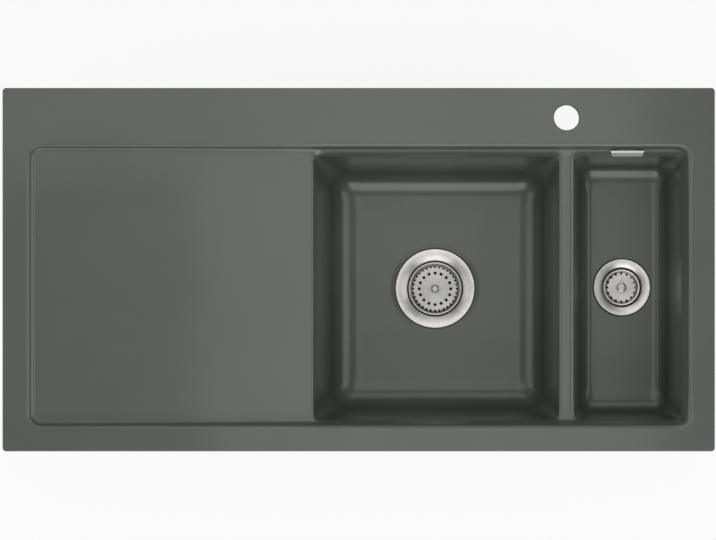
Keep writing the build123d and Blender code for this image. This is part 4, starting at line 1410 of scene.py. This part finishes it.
plate, plate_quads = rounded_block((boss_half, boss_rise, 2.5), 1.2)
plate = (plate + np.array([0, 0, -plate_out])) @ wall_rows + slot_place
neck_outline = [(6.9, 0.0), (neck_radius, 0.0), (neck_radius, neck_length), (6.9, neck_length)]
neck, neck_quads = lathe(neck_outline, [0.5] * 4, (0, 0, -neck_out), 64)
spigot_outline = [
    (0.0, spigot_z + 4.5), (pipe_bore, spigot_z + 4.5), (pipe_bore, spigot_end + socket_depth),
    (socket_bore, spigot_end + socket_depth), (socket_bore, spigot_end), (socket_radius, spigot_end),
    (socket_radius, spigot_z + 7.5), (0.0, spigot_z + 7.5)]
spigot = lathe(spigot_outline, [0, 1.0, 0.3, 0.3, 0.5, 0.6, 4.5, 0], (overflow_x, spigot_y, 0), 64)
elbow = together((plate, plate_quads), (neck @ wall_rows + slot_place, neck_quads), spigot)
solid_piece("overflow_head", elbow, overflow_plastic, "sink", "overflow_plastic")

# %% [markdown]
# A rigid pipe leads down from the elbow, round one bend and forward into the small housing. Its
# skin is one grid that runs along the outside and comes back along the bore.

# %% Overflow pipe
pipe_radius, pipe_bend = 10.0, 32.0
inlet_y, inlet_z = waste_y + inlet_reach, -small_depth - inlet_drop


def pipe_points(radius, high, low_y, low_z, bend, steps=64):
    """Rings along a line that drops, turns through a quarter circle and runs forward."""
    turn = np.linspace(0, np.pi / 2, 19)
    drop = np.linspace(high[2], low_z + bend, 14)[:-1]
    level = np.linspace(high[1] - bend, low_y, 22)[1:]
    y = np.concatenate([np.full_like(drop, high[1]), high[1] - bend + bend * np.cos(turn), level])
    z = np.concatenate([drop, low_z + bend - bend * np.sin(turn), np.full_like(level, low_z)])
    tilt = np.concatenate([np.zeros_like(drop), turn, np.full_like(level, np.pi / 2)])[:, None]
    angle = np.linspace(0, 2 * np.pi, steps, endpoint=False)
    out = radius * np.sin(angle)
    return np.stack([high[0] + radius * np.cos(angle) + 0 * tilt, y[:, None] + out * np.cos(tilt),
                     z[:, None] - out * np.sin(tilt)], -1)


pipe_top = (overflow_x, spigot_y, spigot_end + socket_depth)
outside, inside = [pipe_points(radius, pipe_top, inlet_y - socket_depth, inlet_z, pipe_bend)
                   for radius in (pipe_radius, pipe_bore)]
pipe = np.concatenate([outside, inside[::-1]])
pipe_shape = (pipe, closed_faces(*pipe.shape[:2]))
solid_piece("overflow_pipe", pipe_shape, pipe_plastic, "sink", "pipe_plastic")

# %% [markdown]
# At each end of the pipe a union nut presses a rubber ring against the socket. The nut is turned
# first, and its outside is then drawn in by twelve flutes, which give the fingers a grip.

# %% Pipe nuts
nut_radius, nut_bore, flute_radius, flute_depth, flutes = 16.8, 12.8, 1.8, 1.0, 12
seal_height = 3.0


def fluted_nut(name, seal_name, centre, direction):
    """Union nut whose outside radius dips twelve times round, and the rubber ring in it."""
    outline = [(nut_bore, -11.5), (nut_radius, -11.5), (nut_radius, 6.5), (socket_bore, 6.5),
               (socket_bore, seal_height), (nut_bore, seal_height)]
    points, quads = lathe(outline, [0.4, 1.0, 1.2, 0.5, 0.3, 0.3], (0, 0, 0), 192)
    r, angle = np.hypot(points[..., 0], points[..., 1]), np.arctan2(points[..., 1], points[..., 0])
    near = (angle + np.pi / flutes) % (2 * np.pi / flutes) - np.pi / flutes
    round_part = np.sqrt(np.maximum(flute_radius ** 2 - (nut_radius * near) ** 2, 0))
    dip = np.maximum(round_part - (flute_radius - flute_depth), 0)
    shrink = 1 - dip * (r > nut_radius - 2.0) / r
    points = points * np.stack([shrink, shrink, np.ones_like(r)], -1)
    place = turned_to(direction)
    solid_piece(name, (points @ place + centre, quads), nut_plastic, "sink", "nut_plastic")
    outline = [(socket_bore, 0.0), (12.1, 0.0), (12.1, seal_height), (socket_bore, seal_height)]
    points, quads = lathe(outline, [0.7] * 4, (0, 0, 0), 64)
    solid_piece(seal_name, (points @ place + centre, quads), rubber, "sink", "seal_rubber")


fluted_nut("upper_pipe_nut", "upper_pipe_seal", (overflow_x, spigot_y, spigot_end), (0, 0, -1))
fluted_nut("lower_pipe_nut", "lower_pipe_seal", (overflow_x, inlet_y, inlet_z), (0, 1, 0))

# %% [markdown]
# The insert, its two screws and the gasket behind the wall sit in the thickness of the ceramic.
# Their solids are already right, so they stay as they are and only get their finish.

# %% Pieces kept as they are
for name, finish in (("overflow_insert", overflow_plastic), ("overflow_gasket", rubber),
                     ("overflow_screw_left", screw_steel), ("overflow_screw_right", screw_steel)):
    node = frame["nodes"][name]
    node.data.materials.clear()
    node.data.materials.append(finish)
    print("kept", name, len(node.data.polygons), "faces")

# %% [markdown]
# The stage is a plain pale floor under the lowest outlet. The camera, and any mirror, sees it
# as nearly white paper, while the rest of the light treats it as a matt floor, so it still holds
# the sink's shadow.

# %% Floor
floor_half, floor_gap, paper_share = 9000.0, 0.5, 0.88


def floor_finish():
    """Matt paper for the light, and mostly plain white for the camera and for mirrors."""
    f = Finish("pale_floor", Base_Color=(0.86, 0.86, 0.86, 1), Roughness=0.9)
    glow = f.add("ShaderNodeEmission")
    ray = f.add("ShaderNodeLightPath")
    seen = f.add("ShaderNodeMath", operation="MAXIMUM")
    f.links.new(ray.outputs["Is Camera Ray"], seen.inputs[0])
    f.links.new(ray.outputs["Is Glossy Ray"], seen.inputs[1])
    share = f.add("ShaderNodeMath", operation="MULTIPLY")
    share.inputs[1].default_value = paper_share
    f.links.new(seen.outputs[0], share.inputs[0])
    mix = f.add("ShaderNodeMixShader")
    f.links.new(share.outputs[0], mix.inputs["Fac"])
    f.links.new(f.shader.outputs[0], mix.inputs[1])
    f.links.new(glow.outputs[0], mix.inputs[2])
    f.links.new(mix.outputs[0], f.nodes["Material Output"].inputs["Surface"])
    return f.material


ground = np.linspace(-floor_half, floor_half, 13)
gx, gy = np.meshgrid(ground, ground, indexing="ij")
ground_points = np.stack([gx, gy, np.full_like(gx, cad_low.z / MM - floor_gap)], -1)
floor_mesh = mesh_of("pale_floor", ground_points, open_faces(*gx.shape))
floor_mesh.materials.append(floor_finish())
floor = bpy.data.objects.new("pale_floor", floor_mesh)
bpy.context.scene.collection.objects.link(floor)
print("floor at", round(cad_low.z, 4))

# %% [markdown]
# A long soft box overhead gives the satin sheen across the middle of the sink, and a smaller one
# carries it on to the left end of the deck. Broad boxes at the front, the sides and the back draw
# the soft bands round the floors of the bowls: a foot mirrors the box it leans towards, and the
# dark gap between two boxes makes the dark line in a band. Low strips light only what the walls do
# not hide from them, which is the thin lines along the edges of the tray. A pale room fills the rest.

# %% Light
room_strength = 0.30


def soft_box(name, place, target, size, watts):
    """Area lamp turned towards a place."""
    lamp = bpy.data.lights.new(name, "AREA")
    lamp.shape, lamp.size, lamp.size_y, lamp.energy = "RECTANGLE", *size, watts
    made = bpy.data.objects.new(name, lamp)
    made.location = place
    made.rotation_euler = (Vector(target) - Vector(place)).to_track_quat("-Z", "Y").to_euler()
    bpy.context.scene.collection.objects.link(made)


soft_box("overhead_box", (0.12, 0.5, 2.9), (0.12, 0.5, 0.0), (1.3, 2.7), 13.2)
soft_box("far_left_box", (-1.0, 0.9, 2.9), (-1.0, 0.9, 0.0), (0.9, 1.0), 2.4)
soft_box("front_box", (0.15, -2.2, 1.98), (0.1, 0.0, -0.1), (2.4, 1.6), 27.0)
soft_box("left_box", (-2.1, 0.0, 2.0), (0.1, 0.0, -0.1), (1.8, 1.4), 8.5)
soft_box("right_box", (2.3, 0.0, 2.0), (0.1, 0.0, -0.1), (1.8, 1.4), 11.0)
soft_box("back_box", (0.15, 2.6, 2.2), (0.1, 0.0, -0.1), (2.4, 1.1), 8.0)
soft_box("low_front_strip", (0.1, -2.6, 1.0), (0.1, 0.0, 0.0), (2.6, 0.3), 10.0)
soft_box("low_left_strip", (-2.6, 0.0, 1.0), (0.1, 0.0, 0.0), (1.8, 0.3), 5.0)
soft_box("low_right_strip", (2.8, 0.0, 1.0), (0.1, 0.0, 0.0), (1.8, 0.3), 7.0)


def room_light():
    """Even pale room that looks white to the camera."""
    room = bpy.data.worlds.new("pale_room")
    room.use_nodes = True
    nodes, links = room.node_tree.nodes, room.node_tree.links
    lit, white = nodes["Background"], nodes.new("ShaderNodeBackground")
    lit.inputs["Color"].default_value = white.inputs["Color"].default_value = (1, 1, 1, 1)
    lit.inputs["Strength"].default_value = room_strength
    ray, mix = nodes.new("ShaderNodeLightPath"), nodes.new("ShaderNodeMixShader")
    links.new(ray.outputs["Is Camera Ray"], mix.inputs["Fac"])
    links.new(lit.outputs[0], mix.inputs[1])
    links.new(white.outputs[0], mix.inputs[2])
    links.new(mix.outputs[0], nodes["World Output"].inputs["Surface"])
    return room


bpy.context.scene.world = room_light()
